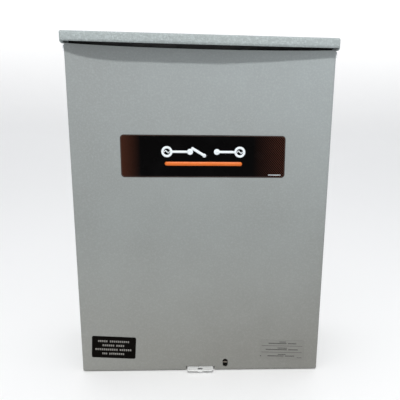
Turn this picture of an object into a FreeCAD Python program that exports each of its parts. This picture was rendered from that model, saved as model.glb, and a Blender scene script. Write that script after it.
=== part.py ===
import FreeCAD, Part

# Automatic transfer switch: a wall-hung outdoor enclosure with a top-hung front cover, and inside it the
# service disconnect breaker, the two-way transfer mechanism, its solenoids and its control parts.
# Millimetres, +Z up, the front towards -Y. The origin is the middle of the footprint, at the lowest level.

import math
import os
import re

import Sketcher

SIZES = [
    # Enclosure
    ("overall_width", 370.8, "rain lid, side to side"),
    ("overall_height", 508, "floor to the top of the lid"),
    ("overall_depth", 180, "wall to the lid's front lip"),
    ("sheet_gauge", 1.6, "enclosure and cover sheet"),
    ("lip_height", 13, "turned-down lip of the lid"),
    ("side_lip_drop", 3.5, "side lips below the front lip"),
    ("side_lip_slope", 10, "sloping front end of a side lip"),
    ("lip_reach", 12, "lip's front to the cover's face"),
    ("lid_side_gap", 0.6, "lid's side lip to the cover"),
    ("cover_side_gap", 0.8, "cover's side flange to the box"),
    ("cover_top_gap", 2.6, "lip's lower edge to the cover's top"),
    ("cover_floor_gap", 0.8, "cover's lower edge above the floor"),
    ("rim_gap", 13.4, "cover's inner face to the box rim"),
    ("rim_width", 22, "box rim at the sides"),
    ("header_height", 42, "box rim at the top"),
    ("sill_height", 31, "box rim at the bottom"),
    ("floor_recess", 7.1, "box floor above the lower edges"),
    ("top_flange", 12, "inward flange under the lid"),
    ("boss_height", 4, "wall feet pressed out of the back"),
    ("boss_radius", 15, "wall foot at its root"),
    ("mount_wide", 317.5, "wall holes, side to side"),
    ("mount_high", 437.9, "wall holes, up and down"),
    ("mount_hole_radius", 4.15, "wall hole"),
    ("corner_round", 1.5, "outside bend of the sheet"),
    ("past", 1, "overrun of a cut beyond the face it opens"),
    ("knockout_radius", 30.15, "conduit knockout, two inch trade size"),
    ("small_knockout_radius", 14.3, "conduit knockout, three quarter inch"),
    ("knockout_gap", 0.5, "sheared gap round a knockout slug"),
    ("knockout_tie", 3, "tie across a knockout's gap"),
    ("knockout_ring_depth", 0.5, "pressed ring of a knockout"),
    ("knockout_ring_width", 0.7, "pressed ring of a knockout"),
    ("knockout_back", 15, "large floor knockouts"),
    ("small_knockout_front", 36, "small floor knockouts"),
    ("side_knockout_back", 20, "side knockouts"),
    ("side_knockout_up", 70, "side knockouts"),
    # Front cover and its hinge
    ("cover_flange", 24, "cover's side flange, front to back"),
    ("cover_foot_gap", 0.5, "cover's foot to the box rim"),
    ("corner_relief", 3, "relief cut at the cover's lower corners"),
    ("relief_width", 2, "relief cut"),
    ("hinge_back", 6.5, "hinge pins behind the cover's face"),
    ("hinge_drop", 6.5, "hinge pins below the cover's top edge"),
    ("pin_radius", 2.4, "hinge pin"),
    ("pin_head", 4.2, "hinge pin's head and shoulder, radius"),
    ("pin_head_gauge", 1.6, "hinge pin's head"),
    ("pin_head_play", 0.1, "hinge pin's head to the flange"),
    ("pin_tail", 1, "hinge pin behind its ear"),
    ("ear_reach", 4.5, "hinge ear round its pin"),
    ("ear_foot", 16, "hinge ear's foot on the rim"),
    ("gasket_width", 10, "foam strip"),
    ("gasket_margin", 3, "foam strip inside the box's sides"),
    ("gasket_lap", 12, "foam strip down over the sill"),
    ("gasket_ear_gap", 1, "foam strip below the hinge ears"),
    ("gasket_gap", 0.3, "foam strip to the rim"),
    ("rain_strip_gauge", 1, "foam strip on the header"),
    ("rain_strip_gap", 0.5, "foam strip to the hinge ears"),
    ("rain_strip_rise", 8, "foam strip above the lip's edge"),
    ("rain_strip_drop", 7.5, "foam strip below the lip's edge"),
    ("hasp_across", -1.4, "padlock tongue's middle"),
    ("hasp_width", 40.2, "padlock tongue"),
    ("hasp_gauge", 1.6, "padlock tongue plate"),
    ("hasp_reach", 10.2, "tongue beyond the cover's face"),
    ("hasp_hole_radius", 4.2, "padlock hole"),
    ("hasp_hole_reach", 4.7, "padlock hole's middle beyond the cover's face"),
    ("hasp_tail", 30, "tongue behind the rim"),
    ("rivet_radius", 2, "hasp's rivet"),
    ("rivet_margin", 8, "hasp's rivets from its sides"),
    ("rivet_back", 20, "hasp's rivets behind the rim"),
    ("notch_gap", 2, "cover's notch round the tongue"),
    ("notch_head", 0.8, "notch above the tongue"),
    ("rivet_head_gauge", 1.2, "hasp's and sealing bar's rivet heads"),
    ("seal_bar_gap", 2.4, "sealing bar behind the cover's outer face"),
    ("seal_bar_side_gap", 0.4, "sealing bar to the slot's sides"),
    ("seal_foot_width", 12, "sealing bar's foot"),
    ("seal_foot_drop", 13, "sealing bar's foot below the sill's top"),
    ("seal_pin_rise", 6, "sealing bar's rivet above the bar"),
    ("seal_pin_radius", 1.6, "sealing bar's rivet"),
    ("seal_across", 37.5, "sealing slot from the middle"),
    ("seal_up", 13.5, "sealing slot above the floor"),
    ("seal_slot_width", 8, "sealing slot"),
    ("seal_slot_length", 13.8, "sealing slot"),
    # Labels
    ("label_gauge", 0.3, "label film"),
    ("name_corner", 5, "front label's corner"),
    ("notice_corner", 2.5, "lower left label's corner"),
    ("caution_corner", 2, "corner of the lower right label and the diagram"),
    ("name_width", 232.5, "front label"),
    ("name_height", 60.4, "front label"),
    ("name_across", 2.3, "front label's middle"),
    ("name_up", 342.2, "front label's middle"),
    ("name_tilt", -0.5, "front label, degrees"),
    ("notice_width", 66.5, "lower left label"),
    ("notice_height", 36.5, "lower left label"),
    ("notice_across", -134.3, "lower left label's middle"),
    ("notice_up", 42.1, "lower left label's middle"),
    ("notice_tilt", 3.2, "lower left label, degrees"),
    ("caution_width", 69, "lower right label"),
    ("caution_height", 32, "lower right label"),
    ("caution_across", 126.9, "lower right label's middle"),
    ("caution_up", 36.2, "lower right label's middle"),
    ("caution_tilt", 1.8, "lower right label, degrees"),
    ("diagram_width", 200, "wiring diagram inside the cover"),
    ("diagram_height", 150, "wiring diagram inside the cover"),
    ("diagram_up", 250, "wiring diagram's middle"),
    # Mounting panel
    ("panel_width", 300, "mounting panel"),
    ("panel_height", 440, "mounting panel"),
    ("panel_gauge", 2, "mounting panel"),
    ("panel_standoff", 10, "panel off the back wall"),
    ("panel_low", 36, "panel's lower edge"),
    ("stud_margin", 9, "panel studs from its sides and foot"),
    ("stud_top_margin", 6, "panel studs from its top"),
    ("stud_radius", 3, "panel stud"),
    ("stud_gap", 0.2, "panel hole round its stud"),
    ("stud_proud", 7, "panel stud in front of the panel"),
    ("nut_radius", 5.8, "panel nut, to its corners"),
    ("nut_gauge", 4.8, "panel nut"),
    # Service disconnect breaker
    ("pole_pitch", 56, "breaker and mechanism poles"),
    ("breaker_up", 390, "breaker's middle"),
    ("breaker_height", 136, "breaker"),
    ("breaker_depth", 68, "breaker"),
    ("breaker_split", 30, "rear moulding of the breaker"),
    ("escutcheon_rise", 8, "raised part round the handle"),
    ("handle_throw", 44, "breaker handle, degrees"),
    ("handle_pin_radius", 2, "pin that the handle turns on"),
    ("handle_pin_reach", 17, "handle's pin to each side"),
    ("handle_gap", 0.6, "handle in its window"),
    ("handle_width", 24, "breaker handle"),
    ("handle_hub", 11, "handle's hub, radius"),
    ("handle_reach", 36, "handle's end from its pin"),
    ("handle_gauge", 12, "handle's arm"),
    ("handle_well", 16, "well that the handle swings in, radius"),
    ("handle_set", 10, "handle's pin behind the breaker's face"),
    ("escutcheon_width", 48, "raised part round the handle"),
    ("escutcheon_height", 60, "raised part round the handle"),
    ("lug_recess_gap", 2, "recess beside a wire lug"),
    ("line_recess", 30, "recess over the line lugs"),
    ("load_recess", 24, "recess over the load straps"),
    ("breaker_screw_margin", 7, "breaker's screw wells from its sides"),
    ("breaker_screw_rise", 32, "breaker's screw wells from its middle"),
    ("breaker_screw_radius", 3.2, "breaker's screw wells"),
    ("breaker_screw_depth", 6, "breaker's screw wells"),
    ("vent_pitch", 5, "breaker's vents"),
    ("vent_width", 2, "breaker's vents"),
    ("vent_height", 16, "breaker's vents"),
    ("vent_depth", 3, "breaker's vents"),
    ("vent_rise", 50, "breaker's vents from its middle"),
    ("turning_gap", 0.05, "shafts and pins in their bearings"),
    # Transfer mechanism
    ("mech_across", -28, "mechanism's middle"),
    ("mech_up", 205, "mechanism's middle"),
    ("mech_height", 150, "moulded base"),
    ("base_gauge", 14, "moulded base"),
    ("cheek_gauge", 6, "moulded cheek"),
    ("cheek_reach", 70, "moulded cheek"),
    ("cheek_height", 104, "moulded cheek"),
    ("base_margin", 8, "moulded base beyond the cheeks"),
    ("upper_ledge", 30, "ledge under the utility terminals"),
    ("lower_ledge", 34, "ledge over the standby terminals"),
    ("ledge_gauge", 10, "moulded ledges"),
    ("bar_gap", 0.4, "load bars to the moulding in front"),
    ("rotor_reach", 36, "rotor in front of the base"),
    ("shaft_radius", 5, "rotor shaft"),
    ("carrier_size", 19, "square contact carrier"),
    ("carrier_gap", 0.6, "carrier to the outer cheeks"),
    ("shaft_left", 12, "shaft beyond the left cheek"),
    ("shaft_right", 23, "shaft beyond the right cheek"),
    ("cam_width", 5, "finger that works the limit switches"),
    ("cam_reach", 24, "finger's end from the shaft"),
    ("cam_gauge", 6, "finger"),
    ("switch_gap", 25, "limit switch bracket to the base's middle cheeks"),
    ("switch_front", 30, "bracket in front of the shaft"),
    ("switch_half", 34, "bracket, to each end"),
    ("switch_foot", 16, "bracket's foot"),
    ("switch_width", 10, "limit switch"),
    ("switch_reach", 26, "limit switch in front of the shaft"),
    ("switch_back", 4, "limit switch behind the shaft"),
    ("arm_tail", 26, "contact arm behind the shaft"),
    ("tip_margin", 4, "contact arm in front of its tips"),
    ("throw_angle", 24, "rotor, degrees"),
    ("lever_length", 32, "drive pin from the rotor"),
    ("lever_hub", 10, "hubs of both levers, radius"),
    ("lever_end", 7, "drive lever's end, radius"),
    ("hand_gap", 4, "hand lever to the right cheek"),
    ("hand_reach", 80, "hand lever's end from the shaft"),
    ("hand_half", 5, "hand lever, half its width"),
    ("grip_wall", 2.5, "grip at the lever's sides"),
    ("grip_side", 3, "grip above and below the lever"),
    ("grip_lap", 4, "grip beyond the lever's end"),
    ("grip_foot", 40, "open end of the grip's hole from the shaft"),
    ("bar_gauge", 4, "copper bar"),
    ("bar_width", 16, "copper bar"),
    ("bar_edge", 1, "fixed bars wider at each side than the arms"),
    ("bus_foot", 26, "strap's foot on the utility terminal"),
    ("bus_lap", 20, "strap's lap on the breaker"),
    ("bus_bolt_margin", 12, "strap's bolt from the end of its foot"),
    ("bolt_radius", 6.9, "bus bolt, to its corners"),
    ("bolt_gauge", 5, "bus bolt's head"),
    ("tip_radius", 5.5, "silver contact"),
    ("tip_gauge", 2, "silver contact"),
    ("tip_gap", 0.05, "closed contacts, as modelled"),
    ("tip_reach", 30, "silver contact from the rotor"),
    ("finger_back", 22, "inner end of a fixed finger from the rotor"),
    ("pad_gap", 10, "terminal pad in front of the base"),
    ("terminal_up", 57, "top of the utility terminals from the rotor"),
    ("lug_size", 24, "wire lug, square"),
    ("lug_set", 4, "line lugs below the breaker's top"),
    ("load_bar_low", 116, "foot of the load bars below the rotor"),
    ("load_bar_high", 24, "top of the load bars below the rotor"),
    ("braid_width", 12, "flexible braid"),
    ("braid_gauge", 2.4, "flexible braid"),
    ("braid_reach", 21, "braid on the arm, behind the rotor"),
    ("braid_drop", 2, "braid under the arm"),
    ("braid_low", 40, "braid's foot below the rotor"),
    ("lug_bore", 8, "wire lug's hole, radius"),
    ("lug_screw_radius", 6, "wire lug's screw"),
    ("lug_screw_proud", 5, "wire lug's screw in front of it"),
    ("lug_socket", 3.4, "hexagon socket of the screw, to its corners"),
    # Solenoids
    ("coil_radius", 17, "solenoid"),
    ("coil_length", 40, "solenoid"),
    ("coil_offset", 45, "solenoid from the rotor"),
    ("core_radius", 8, "iron plunger"),
    ("sliding_gap", 0.1, "plunger and button in their guides"),
    ("yoke_gauge", 3, "solenoid frame"),
    ("yoke_edge", 1, "yoke beyond the coil, and its bore round the plunger"),
    ("yoke_gap", 4, "yoke's back to the coil"),
    ("bobbin_wall", 2.4, "bobbin's drum"),
    ("bobbin_rim", 2, "bobbin's rims"),
    ("winding_depth", 1.2, "winding below the bobbin's rims"),
    ("plunger_half", 53, "plunger, to each end"),
    ("waist_half", 22, "narrow middle of the plunger"),
    ("waist_radius", 4, "narrow middle of the plunger"),
    ("crosshead_half", 7, "block on the plunger"),
    ("crosshead_gap", 15, "block to the moulded base"),
    ("crosshead_slot", 5.5, "block's slot from the plunger's axis"),
    ("drive_pin_radius", 4, "pin of the drive lever"),
    ("drive_pin_gap", 0.3, "drive pin in its slot"),
    ("drive_pin_tip", 6.5, "end of the drive pin from the plunger's axis"),
    # Inner guard
    ("guard_inset", 16, "guard from the panel's left side"),
    ("guard_margin", 14, "guard beyond the breaker"),
    ("guard_hem", 12, "guard's turned edges"),
    ("guard_gap", 1, "guard's window round the breaker's raised part"),
    ("guard_post_margin", 8, "guard's posts from its sides"),
    ("guard_post_top", 5.5, "guard's posts from its top"),
    ("guard_post_radius", 4, "guard's posts, to their corners"),
    ("guard_screw_radius", 2.2, "guard's screws"),
    ("guard_head_radius", 4.2, "guard's screw heads"),
    # Control parts
    ("column_across", 118, "middle of the right-hand column"),
    ("board_width", 100, "load management board"),
    ("board_height", 118, "load management board"),
    ("board_across", 96, "board's middle"),
    ("board_up", 382, "board's middle"),
    ("board_standoff", 10, "board off the panel"),
    ("relay_up", 233, "relay's middle"),
    ("socket_half", 17, "relay socket, half its width"),
    ("socket_rise", 29, "relay socket, half its height"),
    ("socket_depth", 20, "relay socket"),
    ("socket_step", 13, "stepped ends of the socket"),
    ("socket_gap", 2, "relay's case to the socket's steps"),
    ("relay_half", 14, "relay's case, half its width"),
    ("relay_rise", 19, "relay's case, half its height"),
    ("relay_depth", 64, "relay's case in front of the panel"),
    ("case_wall", 1.2, "relay's case"),
    ("fuse_up", 164, "fuse block's middle"),
    ("fuse_half", 28, "fuse block, half its width"),
    ("fuse_rise", 29, "fuse block, half its height"),
    ("fuse_base", 12, "fuse block's base"),
    ("fuse_wall", 22, "fuse block's walls in front of the panel"),
    ("fuse_line", 19, "fuses in front of the panel"),
    ("fuse_radius", 4.8, "fuse tube"),
    ("fuse_length", 38, "fuse tube"),
    ("cap_radius", 5.4, "fuse's end cap"),
    ("cap_length", 7, "fuse's end cap"),
    ("cap_rise", 16, "end caps from the fuse's middle"),
    ("strip_up", 112, "terminal strip's middle"),
    ("bar_up", 66, "neutral bar's middle"),
    ("wire_radius", 1.6, "control wire"),
    ("wire_pitch", 5, "control wires side by side, between the switch bracket and the fuses"),
]

DERIVED = [
    ("front", "-overall_depth / 2"),
    ("wall", "overall_depth / 2"),
    ("face", "front + lip_reach"),
    ("face_in", "face + sheet_gauge"),
    ("rim", "face_in + rim_gap"),
    ("back_out", "wall - boss_height"),
    ("back_in", "back_out - sheet_gauge"),
    ("box_top", "overall_height - sheet_gauge"),
    ("lip_low", "overall_height - lip_height"),
    ("side_lip_low", "lip_low - side_lip_drop"),
    ("cover_half", "overall_width / 2 - sheet_gauge - lid_side_gap"),
    ("box_half", "cover_half - sheet_gauge - cover_side_gap"),
    ("inner_half", "box_half - sheet_gauge"),
    ("cover_top", "lip_low - cover_top_gap"),
    ("hinge_y", "face + hinge_back"),
    ("hinge_z", "cover_top - hinge_drop"),
    ("floor_top", "floor_recess + sheet_gauge"),
    ("sill_top", "floor_recess + sill_height"),
    ("header_low", "box_top - header_height"),
    ("hasp_hole_y", "face - hasp_hole_reach"),
    ("hasp_top", "floor_recess"),
    ("hasp_low", "hasp_top - hasp_gauge"),
    ("panel_back", "back_in - panel_standoff"),
    ("panel_face", "panel_back - panel_gauge"),
    ("panel_top", "panel_low + panel_height"),
    ("breaker_half", "pole_pitch"),
    ("breaker_face", "panel_face - breaker_depth"),
    ("breaker_seam", "panel_face - breaker_split"),
    ("breaker_low", "breaker_up - breaker_height / 2"),
    ("breaker_high", "breaker_up + breaker_height / 2"),
    ("toggle_y", "breaker_face + handle_set"),
    ("mech_front", "panel_face - base_gauge"),
    ("mech_half", "pole_pitch + cheek_gauge / 2"),
    ("rotor_y", "mech_front - rotor_reach"),
    ("half_throw", "throw_angle / 2"),
    ("finger_low", "bar_gauge / 2 + 2 * tip_gauge + tip_gap"),
    ("riser_back", "lever_length + bar_width"),
    ("solenoid_x", "mech_across - mech_half - 10 - coil_radius"),
    ("solenoid_y", "rotor_y - lever_length"),
    ("plunger_rest", "mech_up + lever_length * sin(half_throw)"),
    ("board_back", "panel_face - board_standoff"),
    ("board_face", "board_back - 1.6"),
]

doc = FreeCAD.newDocument("transfer_switch")
sizes = doc.addObject("Spreadsheet::Sheet", "Sizes")
derived = doc.addObject("App::VarSet", "Derived")
NAMES = {}
pieces = []


def expression(text):
    """The text of an expression, with each size's name pointing at the object that holds it."""
    return re.sub(r"[a-z_]+", lambda found: NAMES.get(found.group(0), found.group(0)), str(text))


def fill_sizes():
    """Puts the driving sizes in the sheet and the sizes worked out from them in the variable set."""
    for row, (alias, value, note) in enumerate(SIZES, 1):
        sizes.set(f"A{row}", alias)
        sizes.set(f"B{row}", str(value))
        sizes.setAlias(f"B{row}", alias)
        sizes.set(f"C{row}", note)
        NAMES[alias] = f"Sizes.{alias}"
    doc.recompute()
    for name, text in DERIVED:
        derived.addProperty("App::PropertyFloat", name, "Derived")
        derived.setExpression(name, expression(text))
        NAMES[name] = f"Derived.{name}"
        doc.recompute()


def size(name):
    """The present value of a driving or derived size."""
    return getattr(derived, name) if hasattr(derived, name) else float(sizes.get(name))


# Small tools: each makes one object of the document, with its sizes bound to the sheet.

def bind(obj, **texts):
    for path, text in texts.items():
        obj.setExpression(path.replace("__", "."), expression(text))
    return obj


def block(name, x, y, z):
    """A box from the low to the high end of each axis."""
    obj = doc.addObject("Part::Box", name)
    bind(obj, Length=f"({x[1]}) - ({x[0]})", Width=f"({y[1]}) - ({y[0]})", Height=f"({z[1]}) - ({z[0]})")
    return bind(obj, Placement__Base__x=x[0], Placement__Base__y=y[0], Placement__Base__z=z[0])


TURNS = {
    "x": FreeCAD.Rotation(FreeCAD.Vector(0, 1, 0), 90),
    "y": FreeCAD.Rotation(FreeCAD.Vector(1, 0, 0), -90),
    "z": FreeCAD.Rotation(),
}


def along(obj, axis, span, centre):
    """Lays an object that is built up the Z axis along another axis, from the low end of span."""
    obj.Placement = FreeCAD.Placement(FreeCAD.Vector(), TURNS[axis])
    starts = dict(zip([a for a in "xyz" if a != axis], centre))
    starts[axis] = span[0]
    return bind(obj, **{f"Placement__Base__{a}": text for a, text in starts.items()})


def rod(name, axis, centre, radius, span):
    """A cylinder along an axis, over a span of it, at the centre given by its two other coordinates."""
    obj = doc.addObject("Part::Cylinder", name)
    bind(obj, Radius=radius, Height=f"({span[1]}) - ({span[0]})")
    return along(obj, axis, span, centre)


def cone(name, axis, centre, radii, span):
    obj = doc.addObject("Part::Cone", name)
    bind(obj, Radius1=radii[0], Radius2=radii[1], Height=f"({span[1]}) - ({span[0]})")
    return along(obj, axis, span, centre)


def hexagon(name, axis, centre, radius, span):
    obj = doc.addObject("Part::Prism", name)
    obj.Polygon = 6
    bind(obj, Circumradius=radius, Height=f"({span[1]}) - ({span[0]})")
    return along(obj, axis, span, centre)


def join(name, *parts):
    obj = doc.addObject("Part::MultiFuse", name)
    obj.Shapes = list(parts)
    return obj


def cut(name, base, *tools):
    obj = doc.addObject("Part::Cut", name)
    obj.Base = base
    obj.Tool = tools[0] if len(tools) == 1 else join(f"{name}_tools", *tools)
    return obj


def group(name, *parts):
    """Separate solids that share one node."""
    obj = doc.addObject("Part::Compound", name)
    obj.Links = list(parts)
    return obj


def copies(name, master, places):
    """One link to a master shape at each (x, y, z), as a compound."""
    links = []
    for n, (x, y, z) in enumerate(places, 1):
        link = doc.addObject("App::Link", f"{name}_{n}")
        link.LinkedObject = master
        link.LinkTransform = True
        bind(link, Placement__Base__x=x, Placement__Base__y=y, Placement__Base__z=z)
        links.append(link)
    return group(f"{name}_set", *links)


def corner_edges(shape, axis, keep=None):
    """Numbers of the straight edges along an axis that lie on the shape's outer corners."""
    box = shape.BoundBox
    lows = {"x": (box.XMin, box.XMax), "y": (box.YMin, box.YMax), "z": (box.ZMin, box.ZMax)}
    found = []
    for number, edge in enumerate(shape.Edges, 1):
        if edge.Curve.TypeId != "Part::GeomLine":
            continue
        direction = edge.tangentAt(edge.FirstParameter)
        if abs(getattr(direction, axis)) < 0.999:
            continue
        middle = edge.CenterOfMass
        ends = {a: getattr(middle, a) for a in "xyz" if a != axis}
        if any(min(abs(v - e) for e in lows[a]) > 1e-4 for a, v in ends.items()):
            continue
        if keep is None or keep(middle):
            found.append(number)
    return found


def rounded(name, base, radius, axes, keep=None):
    """Rounds the outer corner edges that run along the axes named."""
    doc.recompute()
    obj = doc.addObject("Part::Fillet", name)
    obj.Base = base
    picked = [n for axis in axes for n in corner_edges(base.Shape, axis, keep)]
    obj.Edges = [(n, size(radius), size(radius)) if isinstance(radius, str) else (n, radius, radius)
                 for n in picked]
    return obj


PLANES = {"xy": "XY_Plane", "xz": "XZ_Plane", "yz": "YZ_Plane"}


def draw(body, name, plane, offset, outline, circles=()):
    """A sketch on one of the body's own planes: a closed outline of corners, and circles inside it."""
    sketch = body.newObject("Sketcher::SketchObject", name)
    origin = [f for f in body.Origin.OriginFeatures if f.Role == PLANES[plane]][0]
    sketch.AttachmentSupport = [(origin, "")]
    sketch.MapMode = "FlatFace"
    bind(sketch, AttachmentOffset__Base__z=offset)
    count = len(outline)
    # A first guess that the constraints then move: a regular polygon.
    guess = [FreeCAD.Vector(50 * math.cos(math.tau * n / count), 50 * math.sin(math.tau * n / count))
             for n in range(count)]
    for n in range(count):
        sketch.addGeometry(Part.LineSegment(guess[n], guess[(n + 1) % count]), False)
    for n in range(count):
        sketch.addConstraint(Sketcher.Constraint("Coincident", n, 2, (n + 1) % count, 1))
    for n, (across, up) in enumerate(outline):
        for kind, text, start in (("DistanceX", across, guess[n].x), ("DistanceY", up, guess[n].y)):
            number = sketch.addConstraint(Sketcher.Constraint(kind, -1, 1, n, 1, start))
            sketch.setExpression(f"Constraints[{number}]", expression(text))
    for across, up, radius in circles:
        ring = sketch.addGeometry(Part.Circle(FreeCAD.Vector(), FreeCAD.Vector(0, 0, 1), 3), False)
        number = sketch.addConstraint(Sketcher.Constraint("Radius", ring, 3))
        sketch.setExpression(f"Constraints[{number}]", expression(radius))
        for kind, text in (("DistanceX", across), ("DistanceY", up)):
            number = sketch.addConstraint(Sketcher.Constraint(kind, -1, 1, ring, 3, 1))
            sketch.setExpression(f"Constraints[{number}]", expression(text))
    return sketch


def plate(name, plane, span, outline, circles=(), soften=()):
    """A body padded from an outline over a span of the plane's normal, with its corners rounded."""
    body = doc.addObject("PartDesign::Body", name)
    # The normal of the XZ plane points along -Y.
    offset = f"-({span[1]})" if plane == "xz" else span[0]
    sketch = draw(body, f"{name}_sketch", plane, offset, outline, circles)
    doc.recompute()
    pad = body.newObject("PartDesign::Pad", f"{name}_pad")
    pad.Profile = sketch
    bind(pad, Length=f"({span[1]}) - ({span[0]})")
    doc.recompute()
    for number, (axis, radius, keep) in enumerate(soften):
        fillet = body.newObject("PartDesign::Fillet", f"{name}_round_{number}")
        before = body.Tip if number else pad
        fillet.Base = (before, [f"Edge{n}" for n in corner_edges(before.Shape, axis, keep)])
        bind(fillet, Radius=radius)
        doc.recompute()
    return body


def turned(name, axis, centre, profile):
    """A body turned about an axis from a profile of (radius, distance along the axis) corners."""
    body = doc.addObject("PartDesign::Body", name)
    sketch = draw(body, f"{name}_sketch", "xz", "0", profile)
    doc.recompute()
    turn = body.newObject("PartDesign::Revolution", f"{name}_turn")
    turn.Profile = sketch
    turn.ReferenceAxis = (sketch, ["V_Axis"])
    turn.Angle = 360
    doc.recompute()
    body.Placement = FreeCAD.Placement(FreeCAD.Vector(), TURNS[axis])
    starts = dict(zip("xyz", centre))
    return bind(body, **{f"Placement__Base__{a}": text for a, text in starts.items()})


def rectangle(x, y):
    return [(x[0], y[0]), (x[1], y[0]), (x[1], y[1]), (x[0], y[1])]


def turn_about_x(obj, y, z, angle):
    """Puts an object built round the origin at (y, z), with its front raised by an angle."""
    obj.Placement = FreeCAD.Placement(FreeCAD.Vector(), FreeCAD.Rotation(FreeCAD.Vector(-1, 0, 0), 1))
    return bind(obj, Placement__Base__y=y, Placement__Base__z=z, Placement__Rotation__Angle=angle)


def keep_as(label, obj):
    """Names a finished sub-part, so that it is written out."""
    obj.Label = label
    pieces.append(obj)
    return obj


def both_sides(low, high):
    """The span from low to high on the right, and its mirror on the left."""
    return {"right": (low, high), "left": (f"-({high})", f"-({low})")}


def around(middle, half):
    return (f"({middle}) - ({half})", f"({middle}) + ({half})")


# ---------------------------------------------------------------- Enclosure

KNOCKOUTS = [
    # name, axis of the hole, the two other coordinates, radius, span of the sheet
    ("floor_left", "z", ("-overall_width * 0.29", "knockout_back"), "knockout_radius",
     ("floor_recess", "floor_top")),
    ("floor_middle", "z", ("mech_across", "knockout_back"), "knockout_radius", ("floor_recess", "floor_top")),
    ("floor_right", "z", ("overall_width * 0.25", "knockout_back"), "knockout_radius",
     ("floor_recess", "floor_top")),
    ("floor_small_left", "z", ("-overall_width * 0.18", "-small_knockout_front"), "small_knockout_radius",
     ("floor_recess", "floor_top")),
    ("floor_small_right", "z", ("overall_width * 0.36", "-small_knockout_front"), "small_knockout_radius",
     ("floor_recess", "floor_top")),
    ("side_left", "x", ("side_knockout_back", "side_knockout_up"), "knockout_radius",
     ("-box_half", "-inner_half")),
    ("side_right", "x", ("side_knockout_back", "side_knockout_up"), "knockout_radius",
     ("inner_half", "box_half")),
]


def wall_feet():
    """The four feet pressed out of the back, and the hollow that each leaves inside."""
    feet, hollows, holes = [], [], []
    for side in ("-", ""):
        for level in ("-", "+"):
            spot = (f"{side}mount_wide / 2", f"overall_height / 2 {level} mount_high / 2")
            tag = f"{'left' if side else 'right'}_{'low' if level == '-' else 'high'}"
            feet.append(cone(f"foot_{tag}", "y", spot, ("boss_radius", "boss_radius - boss_height"),
                             ("back_out", "wall")))
            hollows.append(cone(f"foot_hollow_{tag}", "y", spot,
                                ("boss_radius - sheet_gauge", "boss_radius - sheet_gauge - boss_height"),
                                ("back_in", "wall - sheet_gauge")))
            holes.append(rod(f"foot_hole_{tag}", "y", spot, "mount_hole_radius",
                             ("back_in - past", "wall + past")))
    return feet, hollows + holes


def enclosure():
    depth = ("rim", "back_out")
    walls = [block("back_sheet", ("-box_half", "box_half"), ("back_in", "back_out"), ("0", "box_top"))]
    for side, x in both_sides("inner_half", "box_half").items():
        walls.append(block(f"{side}_wall", x, depth, ("0", "box_top")))
    for side, x in both_sides("box_half - rim_width", "box_half").items():
        walls.append(block(f"{side}_rim", x, ("rim", "rim + sheet_gauge"), ("floor_recess", "box_top")))
    for side, x in both_sides("box_half - top_flange", "box_half").items():
        walls.append(block(f"{side}_top_flange", x, depth, ("box_top - sheet_gauge", "box_top")))
    across = ("-box_half", "box_half")
    front = ("rim", "rim + sheet_gauge")
    walls.append(block("rear_top_flange", across, ("back_out - top_flange", "back_out"),
                       ("box_top - sheet_gauge", "box_top")))
    walls.append(block("front_top_flange", across, ("rim", "rim + top_flange"),
                       ("box_top - sheet_gauge", "box_top")))
    walls.append(block("box_floor", across, depth, ("floor_recess", "floor_top")))
    walls.append(block("sill", across, front, ("floor_recess", "sill_top")))
    walls.append(block("header", across, front, ("header_low", "box_top")))
    feet, cuts = wall_feet()
    for name, axis, centre, radius, span in KNOCKOUTS:
        cuts.append(rod(f"{name}_opening", axis, centre, radius, (f"{span[0]} - past", f"{span[1]} + past")))
    box = cut("enclosure_box", join("enclosure_sheet", *walls, *feet), *cuts)
    keep_as("enclosure", rounded("enclosure_bends", box, "corner_round", "z"))


def knockout_slugs():
    """Each slug is a sheared disc that two ties hold to the sheet, with a shallow ring for a smaller size."""
    slugs = []
    for name, axis, centre, radius, span in KNOCKOUTS:
        disc = rod(f"{name}_disc", axis, centre, f"{radius} - knockout_gap", span)
        tie = rod(f"{name}_tie_round", axis, centre, radius, span)
        others = [a for a in "xyz" if a != axis]
        spans = {axis: span}
        spans[others[0]] = around(centre[0], "knockout_tie / 2")
        spans[others[1]] = around(centre[1], f"{radius} + 1")
        bridge = block(f"{name}_bridge", spans["x"], spans["y"], spans["z"])
        ties = doc.addObject("Part::Common", f"{name}_ties")
        ties.Base, ties.Tool = tie, bridge
        ring = cut(f"{name}_ring",
                   rod(f"{name}_ring_out", axis, centre, f"{radius} * 0.8",
                       (span[0], f"{span[0]} + knockout_ring_depth")),
                   rod(f"{name}_ring_in", axis, centre, f"{radius} * 0.8 - knockout_ring_width",
                       (f"{span[0]} - past", f"{span[0]} + past")))
        slugs.append(cut(f"{name}_slug", join(f"{name}_tied_disc", disc, ties), ring))
    keep_as("knockouts", group("knockout_set", *slugs))


def drip_lid():
    half = "overall_width / 2"
    top = block("lid_sheet", (f"-{half}", half), ("front", "back_out"), ("box_top", "overall_height"))
    lips = [block("front_lip", (f"-{half}", half), ("front", "front + sheet_gauge"),
                  ("lip_low", "overall_height"))]
    for side, x in both_sides(f"{half} - sheet_gauge", half).items():
        lips.append(plate(f"{side}_lip", "yz", x,
                          [("front", "lip_low"), ("front + side_lip_slope", "side_lip_low"),
                           ("back_out", "side_lip_low"), ("back_out", "overall_height"),
                           ("front", "overall_height")]))
    lid = join("lid_bent", top, *lips)
    bends = rounded("lid_side_bends", lid, "corner_round", "xyz",
                    lambda p: p.y < size("back_out") - 1 and p.z > size("lip_low") + 1)
    keep_as("drip_lid", bends)


# ---------------------------------------------------------------- Front cover

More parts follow.
